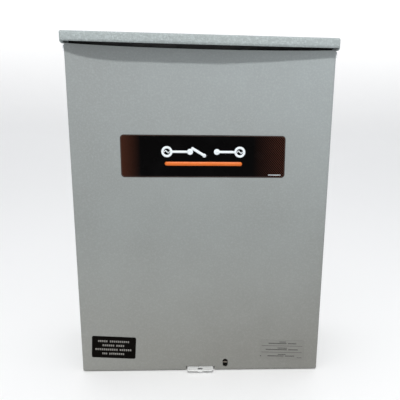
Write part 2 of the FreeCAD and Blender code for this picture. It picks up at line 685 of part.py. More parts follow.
def front_cover():
    """A shallow pan with a free top edge. It swings on two pins through the tops of its side flanges."""
    rise = ("cover_floor_gap", "cover_top")
    sheet = block("cover_face", ("-cover_half", "cover_half"), ("face", "face_in"), rise)
    flanges = [block(f"cover_{side}_flange", x, ("face", "face + cover_flange"), rise)
               for side, x in both_sides("cover_half - sheet_gauge", "cover_half").items()]
    foot = block("cover_foot", ("-cover_half", "cover_half"), ("face", "rim - cover_foot_gap"),
                 ("cover_floor_gap", "cover_floor_gap + sheet_gauge"))
    reliefs = [block(f"cover_{side}_relief", x, ("face + corner_relief", "rim"),
                     ("0", "cover_floor_gap + corner_relief"))
               for side, x in both_sides("cover_half - sheet_gauge - relief_width",
                                         "cover_half - sheet_gauge").items()]
    pan = cut("cover_pan", join("cover_bent", sheet, *flanges, foot), *reliefs)
    pan = rounded("cover_bends", pan, "corner_round", "xz",
                  lambda p: p.y < size("face") + 1 and p.z < size("cover_top") - 1)
    notch = block("hasp_notch", around("hasp_across", "hasp_width / 2 + notch_gap"), ("face - 1", "rim"),
                  ("0", "hasp_top + notch_head"))
    slot_reach = ("face - past", "face_in + past")
    run = "(seal_slot_length - seal_slot_width) / 2"
    slot = [block("seal_slot_middle", around("seal_across", "seal_slot_width / 2"), slot_reach,
                  around("seal_up", run))]
    for end in ("-", "+"):
        slot.append(rod(f"seal_slot_{'low' if end == '-' else 'high'}", "y",
                        ("seal_across", f"seal_up {end} {run}"), "seal_slot_width / 2", slot_reach))
    pins = rod("cover_pin_holes", "x", ("hinge_y", "hinge_z"), "pin_radius + turning_gap",
               ("-cover_half - past", "cover_half + past"))
    keep_as("front_cover", cut("cover_cut_out", pan, notch, pins, *slot))


def door_gasket():
    outer = "box_half - gasket_margin"
    low, high = "sill_top - gasket_lap", "hinge_z - ear_reach - gasket_ear_gap"
    y = ("face_in", "rim - gasket_gap")
    strip = block("gasket_outside", around("0", outer), y, (low, high))
    hole = block("gasket_inside", around("0", f"{outer} - gasket_width"), ("face_in - past", "rim + past"),
                 (f"{low} + gasket_width", f"{high} - gasket_width"))
    keep_as("door_gasket", cut("gasket_ring", strip, hole))


def rain_strip():
    """A foam strip glued to the box's header, behind the gap between the lid and the cover."""
    y = ("rim - rain_strip_gauge", "rim")
    top = "lip_low + rain_strip_rise"
    between_ears = block("rain_strip_middle", around("0", "box_half - ear_foot - rain_strip_gap"), y,
                         ("lip_low - rain_strip_drop", top))
    above_ears = block("rain_strip_wide", around("0", "box_half - corner_round"), y,
                       ("hinge_z + ear_reach + rain_strip_gap", top))
    keep_as("rain_strip", join("rain_strip_foam", between_ears, above_ears))


def hinge():
    """At each side an ear welded to the rim, and a shouldered pin through it and the cover's flange."""
    line = ("hinge_y", "hinge_z")
    ears, pins = [], []
    rise = around("hinge_z", "ear_reach")
    for side, x in both_sides("box_half - sheet_gauge", "box_half").items():
        tab = join(f"ear_tab_{side}", rod(f"ear_eye_{side}", "x", line, "ear_reach", x),
                   block(f"ear_web_{side}", x, ("hinge_y", "rim"), rise))
        foot_x = both_sides("box_half - ear_foot", "box_half")[side]
        foot = block(f"ear_foot_{side}", foot_x, ("rim - sheet_gauge", "rim"), rise)
        hole = rod(f"ear_hole_{side}", "x", line, "pin_radius", (f"{x[0]} - past", f"{x[1]} + past"))
        ears.append(cut(f"ear_{side}", join(f"ear_bent_{side}", tab, foot), hole))
        gap_x = both_sides("box_half", "box_half + cover_side_gap")[side]
        head_x = both_sides("cover_half", "cover_half + pin_head_gauge")[side]
        shank_x = both_sides("box_half - sheet_gauge - pin_tail", "cover_half + pin_head_play")[side]
        pins.append(join(f"pin_{side}", rod(f"pin_shank_{side}", "x", line, "pin_radius", shank_x),
                         rod(f"pin_shoulder_{side}", "x", line, "pin_head", gap_x),
                         rod(f"pin_head_{side}", "x", line, "pin_head", head_x)))
    keep_as("hinge_ears", group("ear_set", *ears))
    keep_as("hinge_pins", group("pin_set", *pins))


def hasp_and_seal():
    left, right = around("hasp_across", "hasp_width / 2")
    spots = {"left": (f"{left} + rivet_margin", "rim + rivet_back"),
             "right": (f"{right} - rivet_margin", "rim + rivet_back")}
    holes = [(x, y, "rivet_radius") for x, y in spots.values()]
    tongue = plate("hasp_plate", "xy", ("hasp_low", "hasp_top"),
                   rectangle((left, right), ("face - hasp_reach", "rim + hasp_tail")),
                   circles=[("hasp_across", "hasp_hole_y", "hasp_hole_radius"), *holes],
                   soften=[("z", "hasp_reach * 0.4", lambda p: p.y < size("face"))])
    keep_as("hasp_bracket", tongue)
    behind_rim = ("rim - sheet_gauge", "rim")
    foot = block("seal_foot", around("seal_across", "seal_foot_width / 2"), behind_rim,
                 ("seal_up - sheet_gauge / 2", "sill_top - seal_foot_drop"))
    bar = block("seal_bar", around("seal_across", "seal_slot_width / 2 - seal_bar_side_gap"),
                ("face + seal_bar_gap", "rim"), around("seal_up", "sheet_gauge / 2"))
    pin = ("seal_across", "seal_up + seal_pin_rise")
    hole = rod("seal_foot_hole", "y", pin, "seal_pin_radius", ("rim - 2 * sheet_gauge", "rim + sheet_gauge"))
    keep_as("seal_bracket", cut("seal_angle", join("seal_bent", foot, bar), hole))
    rivets = []
    for side, spot in spots.items():
        rivets.append(join(f"hasp_rivet_{side}",
                           rod(f"rivet_neck_{side}", "z", spot, "rivet_radius", ("hasp_low", "hasp_top")),
                           cone(f"rivet_head_{side}", "z", spot, ("rivet_radius * 1.3", "rivet_radius * 2"),
                                ("hasp_low - rivet_head_gauge", "hasp_low"))))
    rivets.append(join("seal_rivet",
                       rod("seal_rivet_neck", "y", pin, "seal_pin_radius", behind_rim),
                       cone("seal_rivet_head", "y", pin, ("seal_pin_radius * 1.25", "seal_pin_radius * 1.9"),
                            ("rim - sheet_gauge - rivet_head_gauge", "rim - sheet_gauge"))))
    keep_as("bracket_rivets", group("rivet_set", *rivets))


def label(name, across, up, width, height, y, corner, tilt=None):
    """A film with rounded corners. A tilted one is drawn round the origin and then put in place."""
    middle = ("0", "0") if tilt else (across, up)
    body = plate(f"{name}_film", "xz", y,
                 rectangle(around(middle[0], f"{width} / 2"), around(middle[1], f"{height} / 2")),
                 soften=[("y", corner, None)])
    if tilt:
        body.Placement = FreeCAD.Placement(FreeCAD.Vector(), FreeCAD.Rotation(FreeCAD.Vector(0, 1, 0), 1))
        bind(body, Placement__Base__x=across, Placement__Base__z=up, Placement__Rotation__Angle=tilt)
    keep_as(name, body)


def labels():
    outside = ("face - label_gauge", "face")
    label("name_label", "name_across", "name_up", "name_width", "name_height", outside, "name_corner",
          "name_tilt")
    label("notice_label", "notice_across", "notice_up", "notice_width", "notice_height", outside,
          "notice_corner",
          "notice_tilt")
    label("caution_label", "caution_across", "caution_up", "caution_width", "caution_height", outside,
          "caution_corner",
          "caution_tilt")
    label("diagram_label", "0", "diagram_up", "diagram_width", "diagram_height",
          ("face_in", "face_in + label_gauge"), "caution_corner")


# ---------------------------------------------------------------- Mounting panel

def stud_places():
    x = "panel_width / 2 - stud_margin"
    levels = ["panel_low + stud_margin", "panel_low + panel_height * 0.58", "panel_top - stud_top_margin"]
    return [(side + f"({x})", z) for side in ("-", "") for z in levels]


def mounting_panel():
    half = "panel_width / 2"
    keep_as("sub_panel", plate("panel_plate", "xz", ("panel_face", "panel_back"),
                               rectangle((f"-{half}", half), ("panel_low", "panel_top")),
                               circles=[(x, z, "stud_radius + stud_gap") for x, z in stud_places()]))
    stud = join("panel_stud",
                rod("stud_collar", "y", ("0", "0"), "stud_radius * 2", ("panel_back", "back_in")),
                rod("stud_thread", "y", ("0", "0"), "stud_radius", ("panel_face - stud_proud", "panel_back")))
    nut = cut("panel_nut", hexagon("nut_body", "y", ("0", "0"), "nut_radius",
                                   ("panel_face - nut_gauge", "panel_face")),
              rod("nut_bore", "y", ("0", "0"), "stud_radius",
                  ("panel_face - nut_gauge - past", "panel_face + past")))
    spots = [(x, "0", z) for x, z in stud_places()]
    keep_as("panel_fixings", group("fixing_set", copies("stud", stud, spots), copies("nut", nut, spots)))


# ---------------------------------------------------------------- Service disconnect breaker

def poles():
    return {"left": "mech_across - pole_pitch / 2", "right": "mech_across + pole_pitch / 2"}


def breaker():
    x = around("mech_across", "breaker_half")
    z = ("breaker_low", "breaker_high")
    base = block("breaker_rear", x, ("breaker_seam", "panel_face"), z)
    keep_as("breaker_base", rounded("breaker_rear_round", base, 2, "y"))
    front = block("breaker_front", x, ("breaker_face", "breaker_seam"), z)
    front = rounded("breaker_front_round", front, 2, "y")
    shield = block("escutcheon", around("mech_across", "escutcheon_width / 2"),
                   ("breaker_face - escutcheon_rise", "breaker_face + 2"), around("breaker_up",
                                                                                  "escutcheon_height / 2"))
    shield = rounded("escutcheon_round", shield, 3, "y")
    cuts = [block("handle_window", around("mech_across", "handle_width / 2 + handle_gap"),
                  ("breaker_face - escutcheon_rise - 1", "toggle_y"), around("breaker_up", "handle_well")),
            rod("handle_well", "x", ("toggle_y", "breaker_up"), "handle_well",
                around("mech_across", "handle_width / 2 + handle_gap")),
            rod("handle_bearing", "x", ("toggle_y", "breaker_up"), "handle_pin_radius + turning_gap",
                around("mech_across", "handle_pin_reach + handle_gap"))]
    for side, pole in poles().items():
        wide = around(pole, "lug_size / 2 + lug_recess_gap")
        reach = ("breaker_face - past", "breaker_seam + past")
        cuts.append(block(f"line_recess_{side}", wide, reach,
                          ("breaker_high - line_recess", "breaker_high + 1")))
        cuts.append(block(f"load_recess_{side}", wide, reach,
                          ("breaker_low - 1", "breaker_low + load_recess")))
    for n, (dx, dz) in enumerate([(-1, -1), (1, -1), (-1, 1), (1, 1)]):
        cuts.append(rod(f"breaker_screw_well_{n}", "y",
                        (f"mech_across + {dx} * (breaker_half - breaker_screw_margin)",
                         f"breaker_up + {dz} * breaker_screw_rise"), "breaker_screw_radius",
                        ("breaker_face - 1", "breaker_face + breaker_screw_depth")))
    # Ribs between the poles, as moulded vents.
    for n in range(4):
        for dz in (-1, 1):
            cuts.append(block(f"vent_{n}_{'up' if dz > 0 else 'down'}",
                              around(f"mech_across + ({n} - 1.5) * vent_pitch", "vent_width / 2"),
                              ("breaker_face - past", "breaker_face + vent_depth"),
                              around(f"breaker_up + {dz} * vent_rise", "vent_height / 2")))
    keep_as("breaker_cover", cut("breaker_front_cut", join("breaker_front_whole", front, shield), *cuts))
    hub = rod("toggle_hub", "x", ("0", "0"), "handle_hub", around("mech_across", "handle_width / 2"))
    arm = block("toggle_arm", around("mech_across", "handle_hub"), ("-handle_reach", "0"),
                around("0", "handle_gauge / 2"))
    arm = rounded("toggle_arm_round", arm, 2, "xz", lambda p: p.y < -30)
    pin = rod("toggle_pin", "x", ("0", "0"), "handle_pin_radius", around("mech_across", "handle_pin_reach"))
    toggle = join("toggle", hub, arm, pin)
    keep_as("breaker_handle", turn_about_x(toggle, "toggle_y", "breaker_up", "handle_throw / 2"))


def lug(name, pole, y, z):
    """A square aluminium lug with an upright wire hole and the threaded hole of its clamping screw."""
    body = rounded(f"{name}_round", block(f"{name}_block", around(pole, "lug_size / 2"), y, z), 1.5, "z")
    middle = f"(({y[0]}) + ({y[1]})) / 2"
    wire = rod(f"{name}_wire", "z", (pole, middle), "lug_bore", (f"{z[0]} - past", f"{z[1]} + past"))
    level = f"(({z[0]}) + ({z[1]})) / 2"
    tap = rod(f"{name}_tap", "y", (pole, level), "lug_screw_radius", (f"{y[0]} - 1", middle))
    screw = cut(f"{name}_screw", rod(f"{name}_screw_body", "y", (pole, level), "lug_screw_radius",
                                     (f"{y[0]} - lug_screw_proud", f"{middle} - lug_bore")),
                hexagon(f"{name}_socket", "y", (pole, level), "lug_socket",
                        (f"{y[0]} - lug_screw_proud - past", f"{y[0]} - 1")))
    return cut(f"{name}_bored", body, wire, tap), screw


def lugs():
    """The aluminium lugs of the breaker, the standby terminals and the load bars. Returns their screws."""
    bodies, screws = [], []
    spots = [("line", ("breaker_seam - lug_size", "breaker_seam"),
              ("breaker_high - lug_set - lug_size", "breaker_high - lug_set")),
             ("standby", ("rotor_y - riser_back + bar_gauge", "rotor_y - riser_back + bar_gauge + lug_size"),
              ("mech_up - terminal_up - lug_size", "mech_up - terminal_up")),
             ("load", ("mech_front - bar_gauge - lug_size", "mech_front - bar_gauge"),
              ("mech_up - load_bar_low", "mech_up - load_bar_low + lug_size"))]
    for name, y, z in spots:
        for side, pole in poles().items():
            body, screw = lug(f"{name}_lug_{side}", pole, y, z)
            bodies.append(body)
            screws.append(screw)
    keep_as("wire_lugs", group("lug_set", *bodies))
    return screws


def utility_bus():
    """Two copper straps from the breaker's load side down to the utility terminals, which it returns."""
    strap = "breaker_seam - bar_gauge"
    top = "mech_up + terminal_up"
    bars, bolts = [], []
    for side, pole in poles().items():
        outline = [(f"{strap} - bus_foot", top), ("breaker_seam", top),
                   ("breaker_seam", "breaker_low + bus_lap"),
                   (strap, "breaker_low + bus_lap"), (strap, f"{top} + bar_gauge"),
                   (f"{strap} - bus_foot", f"{top} + bar_gauge")]
        bars.append(plate(f"bus_{side}", "yz", around(pole, "bar_width / 2 + bar_edge"), outline))
        bolts.append(hexagon(f"load_bolt_{side}", "y", (pole, "breaker_low + bus_lap / 2"), "bolt_radius",
                             (f"{strap} - bolt_gauge", strap)))
        bolts.append(hexagon(f"terminal_bolt_{side}", "z", (pole, f"{strap} - bus_foot + bus_bolt_margin"),
                             "bolt_radius",
                             (f"{top} + bar_gauge", f"{top} + bar_gauge + bolt_gauge")))
    keep_as("bus_bolts", group("bolt_set", *bolts))
    return bars


# ---------------------------------------------------------------- Transfer mechanism

def mechanism_base():
    """One dark moulding: the base, three cheeks and the ledges that carry the terminals."""
    parts = [block("base_slab", around("mech_across", "mech_half + base_margin"),
                   ("mech_front", "panel_face"),
                   around("mech_up", "mech_height / 2"))]
    reach = ("mech_front - cheek_reach", "mech_front + 1")
    for name, shift in (("left", "-pole_pitch"), ("middle", "0"), ("right", "pole_pitch")):
        cheek = block(f"cheek_{name}", around(f"mech_across + {shift}", "cheek_gauge / 2"), reach,
                      around("mech_up", "cheek_height / 2"))
        parts.append(rounded(f"cheek_{name}_round", cheek, 8, "x", lambda p: p.y < size("mech_front")))
    ledge_x = around("mech_across", "mech_half")
    parts.append(block("upper_ledge", ledge_x, ("mech_front - upper_ledge", "mech_front + 1"),
                       ("mech_up + terminal_up - bar_gauge - ledge_gauge",
                        "mech_up + terminal_up - bar_gauge")))
    parts.append(block("lower_ledge", ledge_x,
                       ("mech_front - lower_ledge", "mech_front - bar_gauge - bar_gap"),
                       ("mech_up - terminal_up + bar_gauge",
                        "mech_up - terminal_up + bar_gauge + ledge_gauge")))
    line = ("rotor_y", "mech_up")
    bores = [rod("outer_bearing", "x", line, "shaft_radius + turning_gap",
                 around("mech_across", "mech_half + 1")),
             rod("middle_clearance", "x", line, "carrier_size * 0.76", around("mech_across", "cheek_gauge"))]
    keep_as("mechanism_base", cut("mechanism_moulding", join("mechanism_solid", *parts), *bores))


def rotor():
    """The shaft, the square carrier on it and two saddle-shaped contact arms, all turning together."""
    tilt = ("rotor_y", "mech_up", "half_throw")
    left_end = "mech_across - mech_half - shaft_left"
    right_end = "mech_across + mech_half + shaft_right"
    shaft = rod("shaft_bar", "x", ("0", "0"), "shaft_radius", (left_end, right_end))
    finger = block("cam_finger", (f"{right_end} - cam_width", right_end), ("-cam_reach", "0"),
                   around("0", "cam_gauge / 2"))
    keep_as("rotor_shaft", turn_about_x(join("shaft_with_cam", shaft, finger), *tilt))
    inner = "pole_pitch - cheek_gauge / 2 - carrier_gap"
    half = "carrier_size / 2"
    bar = block("carrier_bar", around("mech_across", inner), around("0", half), around("0", half))
    bar = rounded("carrier_bar_round", bar, 1.5, "x")
    bore = rod("carrier_bore", "x", ("0", "0"), "shaft_radius", around("mech_across", "pole_pitch"))
    keep_as("contact_carrier", turn_about_x(cut("carrier_bored", bar, bore), *tilt))
    arms, tips = [], []
    gauge, low, high = "bar_gauge", "-bar_gauge / 2", "bar_gauge / 2"
    front = f"-(tip_reach + tip_radius + tip_margin)"
    crown = f"{half} + {gauge}"
    for side, pole in poles().items():
        outline = [(front, low), (f"-{half}", low), (f"-{half}", half), (half, half), (half, low),
                   ("arm_tail", low), ("arm_tail", high), (crown, high), (crown, crown),
                   (f"-({crown})", crown),
                   (f"-({crown})", high), (front, high)]
        arms.append(plate(f"arm_{side}", "yz", around(pole, "bar_width / 2"), outline))
        for level, span in (("top", (high, f"{high} + tip_gauge")), ("under", (f"{low} - tip_gauge", low))):
            tips.append(rod(f"moving_tip_{side}_{level}", "z", (pole, "-tip_reach"), "tip_radius", span))
    keep_as("moving_contacts", turn_about_x(group("arm_set", *arms), *tilt))
    keep_as("moving_tips", turn_about_x(group("moving_tip_set", *tips), *tilt))


def fixed_contacts():
    """Above and below each arm: a slanted finger, a riser in front and a terminal pad running back."""
    c, s = "cos(half_throw)", "sin(half_throw)"
    bars = []
    for level, sign in (("utility", "1"), ("standby", "-1")):
        def at(forward, rise):
            """A corner that is forward of the rotor and above its mid plane, turned to the closed arm."""
            return (f"rotor_y - ({forward}) * {c} + ({rise}) * {s}",
                    f"mech_up + {sign} * (({forward}) * {s} + ({rise}) * {c})")
        low, high = "finger_low", "finger_low + bar_gauge"
        reach = "(riser_back + bar_gauge)"

        def on_line(distance, rise):
            """The corner of a finger's face at a distance in front of the rotor."""
            return (f"rotor_y - {distance}",
                    f"mech_up + {sign} * ({distance} * tan(half_throw) + ({rise}) / {c})")
        pad_high = f"mech_up + {sign} * terminal_up"
        pad_low = f"mech_up + {sign} * (terminal_up - bar_gauge)"
        outline = [at("finger_back", low), on_line(reach, low), (f"rotor_y - {reach}", pad_high),
                   ("mech_front - pad_gap", pad_high), ("mech_front - pad_gap", pad_low),
                   ("rotor_y - riser_back", pad_low), on_line("riser_back", high), at("finger_back", high)]
        for side, pole in poles().items():
            bars.append(plate(f"{level}_bar_{side}", "yz", around(pole, "bar_width / 2"), outline))
    keep_as("fixed_contacts", group("fixed_contact_set", *bars))
    sets = []
    for level, angle, span in (
            ("utility", "half_throw", ("bar_gauge / 2 + tip_gauge + tip_gap", "finger_low")),
            ("standby", "-half_throw", ("-finger_low", "-(bar_gauge / 2 + tip_gauge + tip_gap)"))):
        tips = [rod(f"{level}_tip_{side}", "z", (pole, "-tip_reach"), "tip_radius", span)
                for side, pole in poles().items()]
        sets.append(turn_about_x(group(f"{level}_tip_set", *tips), "rotor_y", "mech_up", angle))
    keep_as("fixed_tips", group("fixed_tip_set", *sets))


def load_side(straps):
    """Upright bars down to the load lugs, and the flexible braids that feed them from the arms."""
    bars, braids = [], []
    for side, pole in poles().items():
        bars.append(block(f"load_bar_{side}", around(pole, "bar_width / 2 + bar_edge"),
                          ("mech_front - bar_gauge", "mech_front"),
                          ("mech_up - load_bar_low", "mech_up - load_bar_high")))
        tail_y = "rotor_y + braid_reach * cos(half_throw) - braid_drop * sin(half_throw)"
        tail_z = "mech_up - braid_reach * sin(half_throw) - braid_drop * cos(half_throw)"
        back = "mech_front - bar_gauge"
        outline = [(f"{tail_y} - 4", f"{tail_z} + 0.6"), (f"{tail_y} + 4", f"{tail_z} - 1.1"),
                   (back, "mech_up - braid_low + braid_width"), (back, "mech_up - braid_low"),
                   (f"{back} - braid_gauge", "mech_up - braid_low"),
                   (f"{back} - braid_gauge", "mech_up - braid_low + braid_width - braid_drop")]
        braids.append(plate(f"braid_{side}", "yz", around(pole, "braid_width / 2"), outline))
    keep_as("bus_bars", group("bus_set", *straps, *bars))
    keep_as("contact_braids", group("braid_set", *braids))


def solenoids():
    centre = ("solenoid_x", "solenoid_y")
    reach = "coil_radius + yoke_edge"
    x = ("solenoid_x - coil_radius - yoke_gap", "solenoid_x + coil_radius")
    y = around("solenoid_y", reach)
    end = "coil_offset + coil_length / 2 + yoke_gauge"
    parts = [block("yoke_side", (f"{x[0]} - yoke_gauge", x[0]),
                   ("solenoid_y - coil_radius - yoke_edge", "panel_face"),
                   around("mech_up", end)),
             block("yoke_foot", (f"{x[0]} - yoke_gauge", "solenoid_x"),
                   ("panel_face - yoke_gauge", "panel_face"),
                   around("mech_up", end))]
    bores = []
    for name, sign in (("upper", "+"), ("lower", "-")):
        middle = f"mech_up {sign} coil_offset"
        for edge in ("+", "-"):
            z = [f"{middle} {edge} coil_length / 2", f"{middle} {edge} (coil_length / 2 + yoke_gauge)"]
            z = z if edge == "+" else z[::-1]
            parts.append(block(f"yoke_{name}_{'top' if edge == '+' else 'under'}",
                               (f"{x[0]} - yoke_gauge / 2", x[1]), y, tuple(z)))
    bores.append(rod("plunger_ways", "z", centre, "core_radius + yoke_edge",
                     around("mech_up", "coil_offset - coil_length / 2 + past")))
    keep_as("solenoid_frame", cut("solenoid_yoke", join("yoke_bent", *parts), *bores))
    bobbins, windings = [], []
    for name, sign in (("utility", "+"), ("standby", "-")):
        bore, drum, rim = "core_radius + sliding_gap", "core_radius + bobbin_wall", "coil_radius"
        low, high = "-coil_length / 2", "coil_length / 2"
        profile = [(bore, low), (rim, low), (rim, f"{low} + bobbin_rim"), (drum, f"{low} + bobbin_rim"),
                   (drum, f"{high} - bobbin_rim"), (rim, f"{high} - bobbin_rim"), (rim, high), (bore, high)]
        place = ("solenoid_x", "solenoid_y", f"mech_up {sign} coil_offset")
        bobbins.append(turned(f"{name}_bobbin", "z", place, profile))
        wound = [(drum, f"{low} + bobbin_rim"), ("coil_radius - winding_depth", f"{low} + bobbin_rim"),
                 ("coil_radius - winding_depth", f"{high} - bobbin_rim"), (drum, f"{high} - bobbin_rim")]
        windings.append(turned(f"{name}_winding", "z", place, wound))
    keep_as("solenoid_bobbins", group("bobbin_set", *bobbins))
    keep_as("solenoid_windings", group("winding_set", *windings))
    plunger = turned("plunger", "z", ("solenoid_x", "solenoid_y", "plunger_rest"), [
        ("0", "-plunger_half"), ("core_radius", "-plunger_half"),
        ("core_radius", "-waist_half"), ("waist_radius", "-waist_half"),
        ("waist_radius", "waist_half"), ("core_radius", "waist_half"),
        ("core_radius", "plunger_half"), ("0", "plunger_half")])
    head = block("crosshead_block",
                 ("solenoid_x - crosshead_half", "mech_across - mech_half - crosshead_gap"),
                 around("solenoid_y", "core_radius"), around("plunger_rest", "crosshead_half"))
    head = cut("crosshead", rounded("crosshead_round", head, 2, "z"),
               rod("crosshead_bore", "z", centre, "waist_radius", around("plunger_rest", "waist_half")),
               block("crosshead_slot", ("solenoid_x + crosshead_slot", "mech_across - mech_half"),
                     around("solenoid_y", "waist_half"), around("plunger_rest",
                                                                "drive_pin_radius + drive_pin_gap")))
    keep_as("solenoid_plunger", group("plunger_set", plunger, head))


def levers():
    """The drive lever that the plunger moves, and the hand lever on the other end of the shaft."""
    tilt = ("rotor_y", "mech_up", "half_throw")
    x = ("mech_across - mech_half - shaft_left", "mech_across - mech_half - shaft_left / 2")
    hub = rod("lever_hub", "x", ("0", "0"), "lever_hub", x)
    end = rod("lever_end", "x", ("-lever_length", "0"), "lever_end", x)
    web = block("lever_web", x, ("-lever_length", "0"), around("0", "shaft_left / 2"))
    pin = rod("drive_pin", "x", ("-lever_length", "0"), "drive_pin_radius",
              ("solenoid_x + drive_pin_tip", x[1]))
    bore = rod("lever_bore", "x", ("0", "0"), "shaft_radius", (f"{x[0]} - past", f"{x[1]} + past"))
    keep_as("drive_lever", turn_about_x(cut("lever_bored", join("lever_solid", hub, end, web, pin), bore),
                                        *tilt))
    x = ("mech_across + mech_half + hand_gap", "mech_across + mech_half + hand_gap + lever_hub")
    hub = rod("hand_hub", "x", ("0", "0"), "lever_hub", x)
    arm = block("hand_arm", (f"{x[0]} + grip_wall", f"{x[1]} - grip_wall"), ("-hand_reach", "0"),
                around("0", "hand_half"))
    bore = rod("hand_bore", "x", ("0", "0"), "shaft_radius", (f"{x[0]} - past", f"{x[1]} + past"))
    keep_as("manual_lever", turn_about_x(cut("hand_bored", join("hand_solid", hub, arm), bore), *tilt))
    grip = rounded("grip_round", block("grip_block", x, ("-hand_reach - grip_lap", "-grip_foot - grip_lap"),
                                       around("0", "hand_half + grip_side")), 4, "y")
    hole = block("grip_hole", (f"{x[0]} + grip_wall", f"{x[1]} - grip_wall"), ("-hand_reach", "-grip_foot"),
                 around("0", "hand_half"))
    keep_as("lever_grip", turn_about_x(cut("grip_bored", grip, hole), *tilt))


def limit_switches():
    side = "mech_across + mech_half + switch_gap"
    plate_x = (side, f"{side} + sheet_gauge")
    bracket = join("switch_angle",
                   block("switch_web", plate_x, ("rotor_y - switch_front", "panel_face"),
                         around("mech_up", "switch_half")),
                   block("switch_foot", (side, f"{side} + switch_foot"),
                         ("panel_face - sheet_gauge", "panel_face"),
                         around("mech_up", "switch_half")))
    keep_as("limit_switch_bracket", bracket)
    bodies = []
    for name, sign in (("utility", 1), ("standby", -1)):
        z = sorted([sign * 11, sign * 31])
        body = block(f"{name}_switch", (f"{side} - switch_width", side),
                     ("rotor_y - switch_reach", "rotor_y + switch_back"),
                     (f"mech_up + {z[0]}", f"mech_up + {z[1]}"))
        body = rounded(f"{name}_switch_round", body, 1, "x")
        leaf_z = sorted([sign * 8.3, sign * 9.1])
        leaf = block(f"{name}_leaf", (f"{side} - switch_width * 0.75", f"{side} - switch_width * 0.25"),
                     ("rotor_y - cam_reach", "rotor_y + switch_back / 2"),
                     (f"mech_up + {leaf_z[0]}", f"mech_up + {leaf_z[1]}"))
        post_z = sorted([sign * 9.1, sign * 11])
        post = block(f"{name}_post", (f"{side} - switch_width * 0.75", f"{side} - switch_width * 0.25"),
                     ("rotor_y", "rotor_y + switch_back / 2"),
                     (f"mech_up + {post_z[0]}", f"mech_up + {post_z[1]}"))
        bodies.append(join(f"{name}_switch_whole", body, leaf, post))
    keep_as("limit_switches", group("switch_set", *bodies))


# ---------------------------------------------------------------- Control parts

def relay():
    socket = block("socket_block", around("column_across", "socket_half"),
                   ("panel_face - socket_depth", "panel_face"),
                   around("relay_up", "socket_rise"))
    steps = [block("socket_step_low", around("column_across", "socket_half + past"),
                   ("panel_face - socket_depth - past", "panel_face - socket_step"),
                   ("relay_up - socket_rise - past", "relay_up - relay_rise - socket_gap")),
             block("socket_step_high", around("column_across", "socket_half + past"),
                   ("panel_face - socket_depth - past", "panel_face - socket_step"),
                   ("relay_up + relay_rise + socket_gap", "relay_up + socket_rise + past"))]
    socket = cut("socket_stepped", socket, *steps)
    heads = [cut(f"socket_screw_{n}_{m}",
                 rod(f"socket_head_{n}_{m}", "y", (f"column_across + {dx}", f"relay_up + {dz}"), "3",
                     ("panel_face - 15", "panel_face - 13")),
                 block(f"socket_cross_{n}_{m}", around(f"column_across + {dx}", "0.5"),
                       ("panel_face - 16", "panel_face - 14.2"), around(f"relay_up + {dz}", "2.4")))
             for n, dx in enumerate((-11, -3.7, 3.7, 11)) for m, dz in enumerate((-25, 25))]
    keep_as("relay_socket", group("socket_set", socket, *heads))
    y = ("panel_face - relay_depth", "panel_face - socket_depth")
    shell = rounded("relay_shell_round", block("relay_shell", around("column_across", "relay_half"), y,
                                               around("relay_up", "relay_rise")), 2, "y")
    hollow = block("relay_hollow", around("column_across", "relay_half - case_wall"),
                   (f"{y[0]} + case_wall", f"{y[1]} + past"),
                   around("relay_up", "relay_rise - case_wall"))
    keep_as("relay_cover", cut("relay_case", shell, hollow))
    coil = rod("relay_coil", "y", ("column_across", "relay_up - 5"), "9",
               ("panel_face - 54", "panel_face - 24"))
    frame = block("relay_frame", around("column_across", "10"),
                  ("panel_face - 24", "panel_face - socket_depth"),
                  around("relay_up", "16"))
    blades = [block(f"relay_blade_{n}", around(f"column_across + {dx}", "2"),
                    ("panel_face - 58", "panel_face - 24"), around("relay_up + 11", "0.6"))
              for n, dx in enumerate((-7, 0, 7))]
    pole_piece = block("relay_pole", around("column_across", "10"), ("panel_face - 57", "panel_face - 54"),
                       ("relay_up - 15", "relay_up + 8"))
    keep_as("relay_core", group("relay_core_set", join("relay_core_solid", coil, frame, pole_piece, *blades)))


def fuses():
    base = block("fuse_base", around("column_across", "fuse_half"), ("panel_face - fuse_base", "panel_face"),
                 around("fuse_up", "fuse_rise"))
    walls = [block(f"fuse_wall_{n}", around(f"column_across + {x}", "1"),
                   ("panel_face - fuse_wall", "panel_face - fuse_base + past"),
                   around("fuse_up", "fuse_rise")) for n, x in enumerate((-27, -9, 9, 27))]
    keep_as("fuse_block", join("fuse_moulding", base, *walls))
    bodies, clips = [], []
    line = "panel_face - fuse_line"
    for n, x in enumerate((-18, 0, 18)):
        spot = (f"column_across + {x}", line)
        bodies.append(rod(f"fuse_{n}", "z", spot, "fuse_radius", around("fuse_up", "fuse_length / 2")))
        for m, sign in enumerate((-1, 1)):
            z = around(f"fuse_up + {sign} * cap_rise", "cap_length / 2")
            cap = cut(f"fuse_cap_{n}_{m}", rod(f"cap_outside_{n}_{m}", "z", spot, "cap_radius", z),
                      rod(f"cap_inside_{n}_{m}", "z", spot, "fuse_radius",
                          around(f"fuse_up + {sign} * cap_rise", "cap_length / 2 + past")))
            shoe = block(f"clip_shoe_{n}_{m}", around(spot[0], "4"),
                         ("panel_face - 13.8", "panel_face - fuse_base"), z)
            jaws = [block(f"clip_jaw_{n}_{m}_{k}", around(f"{spot[0]} + {k} * 5.6", "0.5"),
                          ("panel_face - 24", "panel_face - fuse_base"), z) for k in (-1, 1)]
            foot = block(f"clip_foot_{n}_{m}", around(spot[0], "6.4"),
                         ("panel_face - 13", "panel_face - fuse_base"), z)
            clips.append(join(f"clip_{n}_{m}", cap, shoe, foot, *jaws))
    keep_as("fuses", group("fuse_set", *bodies))
    keep_as("fuse_clips", group("clip_set", *clips))


